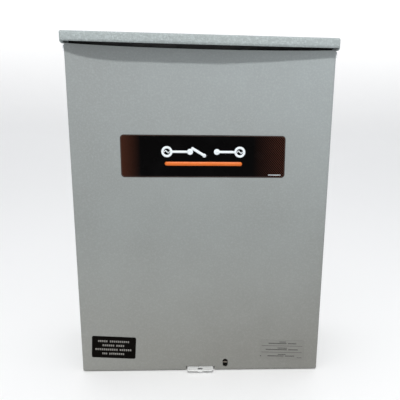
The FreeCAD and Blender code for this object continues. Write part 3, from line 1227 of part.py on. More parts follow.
def terminal_strip():
    base = block("strip_base", around("column_across", "30"), ("panel_face - 8", "panel_face"),
                 around("strip_up", "13"))
    walls = [block(f"strip_wall_{n}", around(f"column_across - 29 + {n} * 11.6", "1"),
                   ("panel_face - 15", "panel_face - 7"), around("strip_up", "13")) for n in range(6)]
    strip = join("strip_moulding", base, *walls)
    master = cut("strip_screw", rod("strip_head", "y", ("0", "0"), "3.1",
                                    ("panel_face - 10.4", "panel_face - 8")),
                 block("strip_slot", around("0", "0.5"), ("panel_face - 11", "panel_face - 9.6"),
                       around("0", "4")))
    spots = [(f"column_across - 23.2 + {n} * 11.6", "0", f"strip_up + {dz}") for n in range(5)
             for dz in (-6.5, 6.5)]
    keep_as("terminal_strip", group("strip_set", strip, copies("strip_screws", master, spots)))


def on_board(name, dx, dz, half_x, half_z, rise):
    """A block that stands on the board's front, at a place from the board's middle."""
    return block(name, around(f"board_across + {dx}", half_x), (f"board_face - {rise}", "board_face"),
                 around(f"board_up + {dz}", half_z))


def controller_board():
    half_x, half_z = "board_width / 2", "board_height / 2"
    corners = [(f"board_across + {i} * ({half_x} - 5)", f"board_up + {j} * ({half_z} - 5)")
               for i in (-1, 1) for j in (-1, 1)]
    keep_as("controller_board", plate("board_plate", "xz", ("board_face", "board_back"),
                                      rectangle(around("board_across", half_x), around("board_up", half_z)),
                                      circles=[(x, z, "1.7") for x, z in corners],
                                      soften=[("y", "2", None)]))
    posts = [join(f"board_post_{n}",
                  rod(f"board_leg_{n}", "y", spot, "3", ("board_back", "panel_face")),
                  rod(f"board_neck_{n}", "y", spot, "1.7", ("board_face", "board_back")),
                  rod(f"board_head_{n}", "y", spot, "3", ("board_face - 1.8", "board_face")))
             for n, spot in enumerate(corners)]
    keep_as("board_posts", group("board_post_set", *posts))
    modules = [rounded(f"board_relay_{n}_round",
                       on_board(f"board_relay_{n}", dx, 22, "7.7", "9.6", 15.5), 0.8, "y")
               for n, dx in enumerate((-32, -12, 8, 28))]
    spot = ("board_across - 10", "board_up - 32")
    modules.append(cut("button_case", on_board("button_block", -10, -32, "4", "4", 3.5),
                       rod("button_well", "y", spot, "2 + sliding_gap",
                           ("board_face - 5", "board_face - 0.8"))))
    modules.append(on_board("board_processor", -6, -8, "9", "9", 2))
    modules.append(on_board("board_driver", 22, -6, "5", "8", 2.4))
    modules.append(on_board("board_transformer", -32, -10, "10", "12", 18))
    for n, (dx, dz) in enumerate(((38, -4), (38, -20), (12, -28))):
        modules.append(rod(f"board_capacitor_{n}", "y", (f"board_across + {dx}", f"board_up + {dz}"),
                           "4", ("board_face - 12", "board_face")))
    keep_as("board_modules", group("board_module_set", *modules))
    rows = []
    for name, dz, count in (("top", 50, 8), ("foot", -50, 8)):
        body = on_board(f"{name}_row", 0, dz, f"{count} * 5", "5.5", 12)
        body = rounded(f"{name}_row_round", body, 1, "x", lambda p: p.y < size("board_face") - 1)
        holes = [rod(f"{name}_row_screw_{n}", "y",
                     (f"board_across - {count} * 5 + 5 + {n} * 10", f"board_up + {dz}"), "2.6",
                     ("board_face - 13", "board_face - 9")) for n in range(count)]
        rows.append(cut(f"{name}_terminals", body, *holes))
    keep_as("board_terminals", group("board_terminal_set", *rows))
    lamps = [rod(f"lamp_{n}", "y", (f"board_across + {n} * 7 - 14", "board_up + 38"), "1.9",
                 ("board_face - 4", "board_face")) for n in range(5)]
    keep_as("board_lamps", group("lamp_set", *lamps))
    cap = join("button_cap", rod("button_stem", "y", spot, "2", ("board_face - 6.5", "board_face - 2")),
               rod("button_top", "y", spot, "2.8", ("board_face - 8", "board_face - 6")))
    keep_as("test_button", cap)


def earth_and_neutral():
    """The drilled bars for the neutral and earth wires. Returns their screws."""
    half = "31"
    y = ("panel_face - 34", "panel_face - 18")
    bar = block("neutral_block", around("column_across", half), y, around("bar_up", "8"))
    bar = rounded("neutral_round", bar, 1, "x")
    middle = "panel_face - 26"
    holes, screws = [], []
    spots = [(-22, 5.6, 4.4), (-6, 5.6, 4.4)] + [(6 + n * 7, 2.6, 2.4) for n in range(4)]
    for n, (dx, wire, radius) in enumerate(spots):
        x = f"column_across + {dx}"
        holes.append(rod(f"neutral_wire_{n}", "z", (x, middle), str(wire), around("bar_up", "9")))
        holes.append(rod(f"neutral_tap_{n}", "y", (x, "bar_up"), str(radius), ("panel_face - 35", middle)))
        screws.append(cut(f"neutral_screw_{n}",
                          rod(f"neutral_screw_body_{n}", "y", (x, "bar_up"), str(radius),
                              ("panel_face - 36", f"{middle} - {wire}")),
                          block(f"neutral_screw_slot_{n}", around(x, "0.6"),
                                ("panel_face - 37", "panel_face - 35"), around("bar_up", str(radius - 0.6)))))
    keep_as("neutral_bar", cut("neutral_drilled", bar, *holes))
    feet = [block(f"insulator_{n}", around(f"column_across + {dx}", "5"), (y[1], "panel_face"),
                  around("bar_up", "7")) for n, dx in enumerate((-14, 24))]
    keep_as("neutral_insulators", group("insulator_set", *feet))
    left = "-(panel_width / 2 - 6)"
    bar = block("earth_block", (left, f"{left} + 66"), ("panel_face - 14", "panel_face - 4"),
                around("bar_up - 2", "5"))
    legs = [block(f"earth_leg_{n}", (f"{left} + {x}", f"{left} + {x} + 8"), ("panel_face - 5", "panel_face"),
                  around("bar_up - 2", "4")) for n, x in enumerate((2, 56))]
    holes = []
    for n in range(7):
        x = f"{left} + 9 + {n} * 8"
        holes.append(rod(f"earth_wire_{n}", "z", (x, "panel_face - 9"), "2.4", around("bar_up - 2", "6")))
        holes.append(rod(f"earth_tap_{n}", "y", (x, "bar_up - 2"), "2.2",
                         ("panel_face - 15", "panel_face - 9")))
        screws.append(cut(f"earth_screw_{n}",
                          rod(f"earth_screw_body_{n}", "y", (x, "bar_up - 2"), "2.2",
                              ("panel_face - 16", "panel_face - 11.4")),
                          block(f"earth_screw_slot_{n}", around(x, "0.5"),
                                ("panel_face - 17", "panel_face - 15.2"), around("bar_up - 2", "1.7"))))
    keep_as("ground_bar", cut("earth_drilled", join("earth_solid", bar, *legs), *holes))
    return screws


def dead_front():
    """The inner plate that guards the breaker's terminals, with a window for its handle."""
    x = ("-(panel_width / 2 - guard_inset)", "mech_across + breaker_half + guard_margin")
    z = ("breaker_low - guard_margin", "panel_top")
    y = ("breaker_face - 2 * sheet_gauge", "breaker_face - sheet_gauge")
    hem = (y[0], f"{y[0]} + guard_hem")
    sheet = [block("guard_face", x, y, z),
             block("guard_left", (x[0], f"{x[0]} + sheet_gauge"), hem, z),
             block("guard_right", (f"{x[1]} - sheet_gauge", x[1]), hem, z),
             block("guard_foot", x, hem, (z[0], f"{z[0]} + sheet_gauge")),
             block("guard_top", x, hem, (f"{z[1]} - sheet_gauge", z[1]))]
    guard = rounded("guard_bends", join("guard_bent", *sheet), "corner_round", "xz",
                    lambda p: p.y < size("breaker_face") - 1)
    window = block("guard_window", around("mech_across", "escutcheon_width / 2 + guard_gap"),
                   (f"{y[0]} - past", f"{y[1]} + past"),
                   around("breaker_up", "escutcheon_height / 2 + guard_gap"))
    spots = [(px, pz) for px in (f"{x[0]} + guard_post_margin",
                                 f"{x[1]} - guard_post_margin") for pz in
             (f"{z[0]} + guard_post_margin", f"{z[1]} - guard_post_top")]
    holes = [rod(f"guard_hole_{n}", "y", spot, "guard_screw_radius", (f"{y[0]} - past", f"{y[1]} + past"))
             for n, spot in enumerate(spots)]
    keep_as("dead_front", cut("guard_cut_out", guard, window, *holes))
    posts = []
    for n, spot in enumerate(spots):
        posts.append(hexagon(f"guard_post_{n}", "y", spot, "guard_post_radius", (y[1], "panel_face")))
        posts.append(join(f"guard_screw_{n}", rod(f"guard_shank_{n}", "y", spot, "guard_screw_radius", y),
                          rod(f"guard_head_{n}", "y", spot, "guard_head_radius",
                              (f"{y[0]} - guard_screw_radius", y[0]))))
    keep_as("dead_front_posts", group("guard_post_set", *posts))


# ---------------------------------------------------------------- Control wires

def tube(name, points, radius):
    """A wire along straight runs joined by arcs, each arc as large as its two runs allow."""
    points = [FreeCAD.Vector(*p) for p in points]
    edges, start = [], points[0]
    for before, corner, after in zip(points, points[1:], points[2:]):
        into, out = (corner - before), (after - corner)
        back = min(0.45 * min(into.Length, out.Length), 14)
        into.normalize()
        out.normalize()
        begin, end = corner - into * back, corner + out * back
        turn = into.getAngle(out)
        bisector = out - into
        bisector.normalize()
        radius_here = back / math.tan(turn / 2)
        centre = corner + bisector * (radius_here / math.cos(turn / 2))
        middle = centre - bisector * radius_here
        if (begin - start).Length > 1e-6:
            edges.append(Part.LineSegment(start, begin).toShape())
        edges.append(Part.Arc(begin, middle, end).toShape())
        start = end
    edges.append(Part.LineSegment(start, points[-1]).toShape())
    path = Part.Wire(edges)
    first = points[1] - points[0]
    ring = Part.Wire([Part.makeCircle(radius, points[0], first)])
    solid = path.makePipeShell([ring], True, False)
    if abs(solid.Volume - math.pi * radius ** 2 * path.Length) > 0.02 * solid.Volume:
        raise RuntimeError(f"{name}: the wire's volume doesn't match its length")
    return solid


def wires():
    """The control wires: coils, switches and board to the fuses, the relay and the terminal strip."""
    radius = size("wire_radius")
    face, column, strip = size("panel_face"), size("column_across"), size("strip_up")
    fuse, relay_z, mech = size("fuse_up"), size("relay_up"), size("mech_up")
    coil_x, coil_y = size("solenoid_x"), size("solenoid_y") + size("coil_radius") / 2
    coil_top = mech + size("coil_offset") + size("coil_length") / 2 + size("yoke_gauge")
    run = face - 6
    bracket = size("mech_across") + size("mech_half") + size("switch_gap") + size("sheet_gauge")
    middle = (bracket + column - size("fuse_half")) / 2
    lanes = [middle + n * size("wire_pitch") for n in (-1.5, -0.5, 0.5, 1.5)]
    cross = mech + size("mech_height") / 2 + 18
    board_x, board_y = size("board_across"), size("board_face") - 4
    board_foot = size("board_up") - size("board_height") / 2 + 3.5
    strip_y, strip_z = face - 8 - radius, strip + 9.6
    relay_y, relay_top, relay_foot = face - 13 - radius, relay_z + 28, relay_z - 28
    fuse_y, fuse_top, fuse_foot = face - 8, fuse + 29, fuse - 29
    fuse_x = [column - 18, column, column + 18]
    strip_x = [column - 23.2 + n * 11.6 for n in range(5)]
    switch_x, switch_y = size("mech_across") + size("mech_half") + 20, size("rotor_y") + 4
    between = (relay_z - 29 + fuse_top) / 2
    paths = [
        # Utility coil to the first fuse
        [(coil_x + 6, coil_y, coil_top), (coil_x + 6, coil_y, cross - 8), (coil_x + 6, run, cross),
         (lanes[2], run, cross), (lanes[2], run, between), (fuse_x[0], fuse_y, between),
         (fuse_x[0], fuse_y, fuse_top)],
        # Standby coil to the relay
        [(coil_x - 6, coil_y, coil_top), (coil_x - 6, coil_y, cross), (coil_x - 6, run - 9, cross + 8),
         (lanes[1], run - 9, cross + 8), (lanes[1], run - 9, relay_z + 42),
         (column - 11, relay_y, relay_z + 42), (column - 11, relay_y, relay_top)],
        # Limit switches to the relay
        [(switch_x, switch_y, mech + 21), (switch_x, switch_y + 10, mech + 21),
         (switch_x, run - 8, mech + 42), (lanes[0], relay_y, mech + 44), (lanes[0], relay_y, between),
         (column - 11, relay_y, between), (column - 11, relay_y, relay_foot)],
        # Relay to the middle fuse
        [(column + 3.7, relay_y, relay_foot), (column + 3.7, relay_y, between + 1),
         (fuse_x[1], fuse_y, between), (fuse_x[1], fuse_y, fuse_top)],
        # Board to the relay, and down to the terminal strip
        [(board_x + 5, board_y, board_foot), (board_x + 5, board_y, board_foot - 16),
         (column + 11, relay_y, relay_z + 46), (column + 11, relay_y, relay_top)],
        [(board_x - 5, board_y, board_foot), (board_x - 5, board_y, board_foot - 16),
         (lanes[3], run - 4.5, board_foot - 30), (lanes[3], run - 4.5, strip_z + 10),
         (strip_x[0], strip_y, strip_z + 9), (strip_x[0], strip_y, strip_z)],
        # Fuses to the terminal strip
        [(fuse_x[0], fuse_y, fuse_foot), (fuse_x[0], fuse_y, fuse_foot - 5),
         (strip_x[1], strip_y, strip_z + 6), (strip_x[1], strip_y, strip_z)],
        [(fuse_x[1], fuse_y, fuse_foot), (fuse_x[1], fuse_y, fuse_foot - 5),
         (strip_x[2], strip_y, strip_z + 5), (strip_x[2], strip_y, strip_z)],
        [(fuse_x[2], fuse_y, fuse_foot), (fuse_x[2], fuse_y, fuse_foot - 5),
         (strip_x[3], strip_y, strip_z + 6), (strip_x[3], strip_y, strip_z)],
    ]
    feature = doc.addObject("Part::Feature", "wire_bundle")
    feature.Shape = Part.makeCompound([tube(f"wire {n}", path, radius) for n, path in enumerate(paths, 1)])
    keep_as("control_wires", feature)


# ---------------------------------------------------------------- Build and write

def check_document():
    """Stops if any object failed, or if a sub-part isn't a valid closed solid."""
    for obj in doc.Objects:
        if {"Invalid", "Error"} & set(obj.State):
            raise RuntimeError(f"{obj.Name} failed: {obj.State}")
    for obj in pieces:
        shape = obj.Shape
        if shape.isNull() or not shape.isValid() or not shape.Solids:
            raise RuntimeError(f"{obj.Label} has no valid solid")
        if any(solid.Volume <= 0 for solid in shape.Solids):
            raise RuntimeError(f"{obj.Label} holds a solid with no volume")


def write_steps():
    os.makedirs("parts", exist_ok=True)
    for obj in pieces:
        obj.Shape.exportStep(f"parts/{obj.Label}.step")


fill_sizes()
enclosure()
knockout_slugs()
drip_lid()
front_cover()
door_gasket()
rain_strip()
hinge()
hasp_and_seal()
labels()
mounting_panel()
breaker()
lug_screws = lugs()
copper_straps = utility_bus()
mechanism_base()
rotor()
fixed_contacts()
load_side(copper_straps)
solenoids()
levers()
limit_switches()
relay()
fuses()
terminal_strip()
controller_board()
bar_screws = earth_and_neutral()
keep_as("terminal_screws", group("screw_set", *lug_screws, *bar_screws))
dead_front()
wires()
doc.recompute()
check_document()
write_steps()
print(len(pieces), "sub-parts,", sum(len(obj.Shape.Solids) for obj in pieces), "solids")
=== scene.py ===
import math

import bmesh
import bpy
from mathutils import Matrix, Vector


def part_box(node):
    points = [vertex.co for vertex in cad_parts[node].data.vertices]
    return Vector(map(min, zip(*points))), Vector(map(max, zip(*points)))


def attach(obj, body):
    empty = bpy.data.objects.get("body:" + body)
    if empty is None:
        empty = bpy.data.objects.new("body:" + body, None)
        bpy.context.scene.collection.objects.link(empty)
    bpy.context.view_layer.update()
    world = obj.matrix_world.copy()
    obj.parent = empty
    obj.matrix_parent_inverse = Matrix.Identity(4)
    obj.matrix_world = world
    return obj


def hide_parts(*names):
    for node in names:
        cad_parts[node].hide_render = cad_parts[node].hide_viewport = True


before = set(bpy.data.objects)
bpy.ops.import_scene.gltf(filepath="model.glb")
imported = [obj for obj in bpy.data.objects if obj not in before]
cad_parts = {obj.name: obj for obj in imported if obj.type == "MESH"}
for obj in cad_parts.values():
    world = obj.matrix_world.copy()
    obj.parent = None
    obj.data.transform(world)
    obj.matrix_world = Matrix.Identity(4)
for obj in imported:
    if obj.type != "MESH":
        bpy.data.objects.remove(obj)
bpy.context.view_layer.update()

# ---------------------------------------------------------------- Enclosure
# The box is folded from 1.6 mm galvanised sheet and spot welded, with wall feet pressed out of its back. It is
# powder coated light grey inside and out, with a fine orange peel. The knockouts are sheared in the same sheet.

PAINT_GREY = (0.246, 0.266, 0.262)
PAINT_WORN = (0.205, 0.216, 0.208)
# Painted light and shade, as colour multipliers: each row is a span of height from low to high and the tints it
# reaches at the left and at the right. The top is painted brighter and cooler and the bottom darker and warmer,
# both more so on the right.
PAINTED_LIGHT_TINTS = [(0.25, 0.47, (1.12, 1.13, 1.16), (1.25, 1.28, 1.33)),
           (0.24, 0.03, (1.04, 0.98, 0.93), (0.87, 0.81, 0.76))]


def new_material(name, colour, roughness, metallic=0.0):
    """A material with a plain Principled shader, its node tree and the place on the piece that patterns read."""
    material = bpy.data.materials.new(name)
    material.use_nodes = True
    tree = material.node_tree
    shader = tree.nodes["Principled BSDF"]
    shader.inputs["Base Color"].default_value = (*colour, 1)
    shader.inputs["Roughness"].default_value = roughness
    shader.inputs["Metallic"].default_value = metallic
    place = tree.nodes.new("ShaderNodeTexCoord").outputs["Object"]
    return material, tree, shader, place


def node(tree, kind, settings=None, **inputs):
    """A node of a tree. Each input is a value or another node's output."""
    made = tree.nodes.new("ShaderNode" + kind)
    for key, value in (settings or {}).items():
        setattr(made, key, value)
    for key, value in inputs.items():
        socket = made.inputs[key.replace("_", " ")]
        if isinstance(value, bpy.types.NodeSocket):
            tree.links.new(value, socket)
        else:
            socket.default_value = value
    return made


def noise(tree, place, scale, detail=3.0, roughness=0.5, stretch=(1, 1, 1)):
    """Cloudy values from 0 to 1. Stretch draws the clouds out along an axis where it is under 1."""
    if stretch != (1, 1, 1):
        place = node(tree, "Mapping", Vector=place, Scale=stretch).outputs["Vector"]
    return node(tree, "TexNoise", Vector=place, Scale=scale, Detail=detail,
                Roughness=roughness).outputs["Fac"]


def between(tree, value, low, high, start=0.0, end=1.0):
    """Value's stretch from low to high, drawn out to start to end and held there."""
    return node(tree, "MapRange", Value=value, From_Min=low, From_Max=high, To_Min=start,
                To_Max=end).outputs["Result"]


def mix(tree, share, first, second):
    """Two colours blended by share."""
    made = node(tree, "Mix", {"data_type": "RGBA"}, Factor=share)
    for socket, colour in ((made.inputs[6], first), (made.inputs[7], second)):
        if isinstance(colour, bpy.types.NodeSocket):
            tree.links.new(colour, socket)
        else:
            socket.default_value = (*colour, 1)
    return made.outputs[2]


def multiplied(tree, colour, tint):
    """A colour times a tint."""
    made = node(tree, "Mix", {"data_type": "RGBA", "blend_type": "MULTIPLY"}, Factor=1.0)
    tree.links.new(colour, made.inputs[6])
    tree.links.new(tint, made.inputs[7])
    return made.outputs[2]


def colour_from(tree, shader, colour):
    tree.links.new(colour, shader.inputs["Base Color"])


def roughness_from(tree, shader, value):
    tree.links.new(value, shader.inputs["Roughness"])


def relief(tree, shader, height, depth, under=None):
    """Raises the surface by height times depth, in metres, on top of what is under it."""
    bump = node(tree, "Bump", Height=height, Distance=depth)
    if under:
        tree.links.new(under.outputs["Normal"], bump.inputs["Normal"])
    tree.links.new(bump.outputs["Normal"], shader.inputs["Normal"])
    return bump


def powder_coat(name, colour, worn, grain, depth, mottle=0.25, spark=1.16, painted_light=False):
    """Sprayed and baked powder: orange peel of the given grain, flecks of spark times the colour and a slow drift
    of tone. Where asked, light and shade are painted into the colour: brighter and cooler towards the top, darker
    and warmer towards the bottom."""
    material, tree, shader, place = new_material(name, colour, 0.42)
    drift = noise(tree, place, 9, 4, 0.55)
    fleck = noise(tree, place, grain * 0.8, 2, 0.6)
    tone = mix(tree, between(tree, drift, 0.3, 0.75, 0, 0.55), colour, worn)
    light = [min(1, c * spark) for c in colour]
    tone = mix(tree, between(tree, fleck, 0.45, 0.75, 0, mottle), tone, light)
    if painted_light:
        parts = node(tree, "SeparateXYZ", Vector=place).outputs
        across = between(tree, parts["X"], -0.18, 0.18)
        # Painted light and shade: the coat is multiplied brighter and cooler towards the top and darker and warmer
        # towards the bottom, more so on the right.
        for low, high, left, right in PAINTED_LIGHT_TINTS:
            tint = mix(tree, between(tree, parts["Z"], low, high), (1, 1, 1), mix(tree, across, left, right))
            tone = multiplied(tree, tone, tint)
    colour_from(tree, shader, tone)
    roughness_from(tree, shader, between(tree, drift, 0.3, 0.7, 0.38, 0.5))
    peel = relief(tree, shader, noise(tree, place, grain, 2, 0.5), depth)
    relief(tree, shader, noise(tree, place, grain * 3.1, 1, 0.5), depth * 0.3, peel)
    return material


def dress(material, *names):
    """Gives CAD nodes their finish."""
    for name in names:
        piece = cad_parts[name]
        piece.data.materials.clear()
        piece.data.materials.append(material)


box_paint = powder_coat("box_powder_coat", PAINT_GREY, PAINT_WORN, 420, 0.00012)
dress(box_paint, "enclosure", "knockouts", "hinge_ears")

# ---------------------------------------------------------------- Mounting panel
# The panel is a flat plate of galvanised steel that stands off the back on six collared studs, each with a zinc
# plated nut. The crystals of the hot dip show on it.


def galvanised(name, grain=110.0):
    """Hot dip zinc: flat grey crystals, each with its own tone and gloss."""
    material, tree, shader, place = new_material(name, (0.50, 0.52, 0.53), 0.4, 1.0)
    cells = node(tree, "TexVoronoi", Vector=place, Scale=grain)
    tone = node(tree, "SeparateColor", Color=cells.outputs["Color"]).outputs["Red"]
    cloud = noise(tree, place, 14, 4)
    crystal = mix(tree, tone, (0.43, 0.45, 0.46), (0.64, 0.66, 0.67))
    colour_from(tree, shader, mix(tree, between(tree, cloud, 0.4, 0.8, 0, 0.5), crystal, (0.40, 0.41, 0.41)))
    roughness_from(tree, shader, between(tree, tone, 0, 1, 0.27, 0.48))
    relief(tree, shader, cells.outputs["Distance"], 0.00003)
    return material


def metal(name, colour, roughness, streak=(1, 1, 1), metallic=1.0, tarnish=0.2):
    """Worked metal: a soft cloud in its gloss, dull patches, and fine marks drawn out along streak's low axis."""
    material, tree, shader, place = new_material(name, colour, roughness, metallic)
    cloud = noise(tree, place, 45, 4, 0.6)
    lines = noise(tree, place, 700, 2, 0.5, streak)
    dull = [c * (1 - tarnish) for c in colour]
    colour_from(tree, shader, mix(tree, between(tree, cloud, 0.45, 0.8), colour, dull))
    roughness_from(tree, shader, between(tree, cloud, 0.3, 0.7, roughness * 0.75, roughness * 1.4))
    relief(tree, shader, lines, 0.00002)
    return material


spangle = galvanised("panel_spangle")
bright_zinc = metal("bright_zinc", (0.86, 0.88, 0.90), 0.32, (0.1, 1, 1))
dress(spangle, "sub_panel")
dress(bright_zinc, "panel_fixings")

# ---------------------------------------------------------------- Service disconnect breaker
# A two-pole breaker in black moulded halves, screwed to the panel, with one wide handle. Its aluminium lugs hold
# the service wires with slotted steel screws.


def moulded(name, colour, roughness=0.5, grain=900, scuff=0.35):
    """Moulded plastic: an even colour with a fine matt texture and paler scuffed patches."""
    material, tree, shader, place = new_material(name, colour, roughness)
    cloud = noise(tree, place, 25, 4, 0.6)
    pale = [min(1, c * 1.5 + 0.01) for c in colour]
    colour_from(tree, shader, mix(tree, between(tree, cloud, 0.5, 0.8, 0, scuff), colour, pale))
    roughness_from(tree, shader, between(tree, cloud, 0.3, 0.7, roughness - 0.08, roughness + 0.1))
    relief(tree, shader, noise(tree, place, grain, 2), 0.00004)
    return material


black_moulding = moulded("black_moulding", (0.022, 0.022, 0.023), 0.46)
drawn_aluminium = metal("drawn_aluminium", (0.74, 0.75, 0.76), 0.36, (1, 1, 0.1))
turned_steel = metal("turned_steel", (0.47, 0.47, 0.48), 0.34, (0.1, 1, 1), 1.0, 0.35)
dress(black_moulding, "breaker_base", "breaker_cover")
dress(moulded("handle_moulding", (0.032, 0.031, 0.030), 0.36, 1300), "breaker_handle")
dress(drawn_aluminium, "wire_lugs")
dress(turned_steel, "terminal_screws")

# ---------------------------------------------------------------- Transfer mechanism
# A brown thermoset moulding carries the shaft in its cheeks. Copper arms on a square carrier close on slanted
# copper fingers through silver tips, and woven copper braids join them to the load bars.


def woven_copper(name):
    """Braid: two sets of fine strands that cross on the slant."""
    material, tree, shader, place = new_material(name, (0.66, 0.31, 0.17), 0.42, 1.0)
    strands = []
    for slant in (0.8, -0.8):
        turned_place = node(tree, "Mapping", Vector=place, Rotation=(slant, 0, slant)).outputs["Vector"]
        strands.append(node(tree, "TexWave", Vector=turned_place, Scale=210.0, Distortion=0.6).outputs["Fac"])
    weave = node(tree, "Math", {"operation": "MAXIMUM"})
    for strand, socket in zip(strands, weave.inputs):
        tree.links.new(strand, socket)
    height = weave.outputs[0]
    colour_from(tree, shader, mix(tree, between(tree, height, 0.2, 0.9), (0.24, 0.09, 0.045), (0.74, 0.37, 0.21)))
    roughness_from(tree, shader, between(tree, height, 0, 1, 0.6, 0.34))
    relief(tree, shader, height, 0.0003)
    return material


rolled_copper = metal("rolled_copper", (0.78, 0.40, 0.24), 0.30, (1, 1, 0.08), 1.0, 0.4)
dress(moulded("brown_moulding", (0.085, 0.042, 0.026), 0.40, 700, 0.25), "mechanism_base")
dress(rolled_copper, "bus_bars", "moving_contacts", "fixed_contacts")
dress(metal("silver_tip", (0.90, 0.88, 0.84), 0.28, (1, 1, 1), 1.0, 0.45), "moving_tips", "fixed_tips")
dress(woven_copper("copper_braid"), "contact_braids")
dress(bright_zinc, "bus_bolts", "drive_lever", "manual_lever")
dress(turned_steel, "rotor_shaft")
dress(moulded("carrier_moulding", (0.030, 0.028, 0.026), 0.52), "contact_carrier")
dress(moulded("red_moulding", (0.52, 0.018, 0.012), 0.33, 1200, 0.15), "lever_grip", "test_button")
dress(spangle, "limit_switch_bracket")
dress(black_moulding, "limit_switches")

# ---------------------------------------------------------------- Solenoids
# Two coils of enamelled wire on white bobbins stand one above the other in a bent steel frame. A turned steel
# plunger slides through both. Each coil is a close helix, a turn to every wire's width.

ENAMEL_WIRE = 0.0006
COIL_SPACING = 0.054


def piece_from(mesh, name, material, smooth=35):
    """An object made of a bmesh, smooth where its faces meet at less than the given degrees."""
    data = bpy.data.meshes.new(name)
    mesh.to_mesh(data)
    mesh.free()
    data.materials.append(material)
    data.polygons.foreach_set("use_smooth", [True] * len(data.polygons))
    data.set_sharp_from_angle(angle=math.radians(smooth))
    made = bpy.data.objects.new(name, data)
    bpy.context.scene.collection.objects.link(made)
    return made


def settle(made):
    """Turns a piece's modifiers into its plain mesh."""
    bpy.context.view_layer.update()
    evaluated = made.evaluated_get(bpy.context.evaluated_depsgraph_get())
    data = bpy.data.meshes.new_from_object(evaluated)
    made.modifiers.clear()
    made.data = data
    return made


def new_tree(name, **inputs):
    """An empty Geometry Nodes tree with the given named inputs, and the sockets that bring them in."""
    tree = bpy.data.node_groups.new(name, "GeometryNodeTree")
    tree.interface.new_socket("Geometry", in_out="OUTPUT", socket_type="NodeSocketGeometry")
    for label, kind in inputs.items():
        tree.interface.new_socket(label, in_out="INPUT", socket_type="NodeSocket" + kind)
    return tree, tree.nodes.new("NodeGroupInput").outputs


def step(tree, kind, **inputs):
    """A step of a tree. Each input is a value or another step's output."""
    made = tree.nodes.new("GeometryNode" + kind)
    for key, value in inputs.items():
        socket = made.inputs[key.replace("_", " ")]
        if isinstance(value, bpy.types.NodeSocket):
            tree.links.new(value, socket)
        else:
            socket.default_value = value
    return made


def finish_tree(tree, geometry, material):
    """Ends a tree: its instances made real, then given a material."""
    real = step(tree, "RealizeInstances", Geometry=geometry)
    painted = step(tree, "SetMaterial", Geometry=real.outputs[0], Material=material)
    tree.links.new(painted.outputs[0], tree.nodes.new("NodeGroupOutput").inputs[0])
    return tree


def grown(tree, name, **inputs):
    """The plain mesh that a tree makes from the given inputs."""
    made = bpy.data.objects.new(name, bpy.data.meshes.new(name))
    bpy.context.scene.collection.objects.link(made)
    modifier = made.modifiers.new("tree", "NODES")
    modifier.node_group = tree
    for item in tree.interface.items_tree:
        if item.in_out == "INPUT" and item.name in inputs:
            modifier[item.identifier] = inputs[item.name]
    return settle(made)


def helix():
    """A tree that winds a close helix of wire upwards from its foot."""
    tree, given = new_tree("coil_helix", Turns="Float", Radius="Float", Height="Float", Wire="Float",
                           Foot="Vector", Enamel="Material")
    spiral = step(tree, "CurveSpiral", Resolution=40, Rotations=given["Turns"], Start_Radius=given["Radius"],
                  End_Radius=given["Radius"], Height=given["Height"])
    ring = step(tree, "CurvePrimitiveCircle", Resolution=8, Radius=given["Wire"])
    wire = step(tree, "CurveToMesh", Curve=spiral.outputs[0], Profile_Curve=ring.outputs[0], Fill_Caps=True)
    smooth = step(tree, "SetShadeSmooth", Geometry=wire.outputs[0])
    placed = step(tree, "Transform", Geometry=smooth.outputs[0], Translation=given["Foot"])
    return finish_tree(tree, placed.outputs[0], given["Enamel"])


enamel = metal("enamelled_wire", (0.56, 0.20, 0.06), 0.30, (1, 1, 1), 0.75, 0.5)
helix_tree = helix()
coils_low, coils_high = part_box("solenoid_windings")
coil_middle = (coils_low + coils_high) / 2
coil_radius = (coils_high.x - coils_low.x) / 2
windings = bmesh.new()
coil_run = (coils_high.z - coils_low.z - COIL_SPACING) / 2
for foot in (coils_low.z, coils_high.z - coil_run):
    turns = round((coil_run - 2 * ENAMEL_WIRE) / (2 * ENAMEL_WIRE))
    coil = grown(helix_tree, "coil", Turns=float(turns), Radius=coil_radius - ENAMEL_WIRE,
                 Height=coil_run - 2 * ENAMEL_WIRE, Wire=ENAMEL_WIRE * 1.03,
                 Foot=(coil_middle.x, coil_middle.y, foot + ENAMEL_WIRE), Enamel=enamel)
    windings.from_mesh(coil.data)
    bpy.data.objects.remove(coil)
coil_turns = piece_from(windings, "coil_turns", enamel, 60)
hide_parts("solenoid_windings")
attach(coil_turns, "box")
white_nylon = moulded("white_nylon", (0.78, 0.76, 0.70), 0.38, 1200, 0.1)
dress(galvanised("yoke_spangle", 160.0), "solenoid_frame")
dress(white_nylon, "solenoid_bobbins", "board_posts", "neutral_insulators")
dress(metal("polished_steel", (0.62, 0.62, 0.63), 0.22, (1, 1, 0.1), 1.0, 0.2), "solenoid_plunger")

# ---------------------------------------------------------------- Relay, fuses and terminal strip
# Below the board a plug-in relay in a clear case stands on its black socket, over three cartridge fuses in brass
# clips and a five-way strip of screw terminals.


def clear_case(name):
    """Clear moulded case with slight haze."""
    material, tree, shader, place = new_material(name, (0.86, 0.90, 0.92), 0.08)
    shader.inputs["Transmission Weight"].default_value = 0.94
    shader.inputs["IOR"].default_value = 1.49
    haze = noise(tree, place, 60, 4)
    colour_from(tree, shader, mix(tree, between(tree, haze, 0.4, 0.8), (0.90, 0.93, 0.94), (0.78, 0.82, 0.83)))
    roughness_from(tree, shader, between(tree, haze, 0.3, 0.7, 0.04, 0.14))
    relief(tree, shader, haze, 0.00002)
    return material


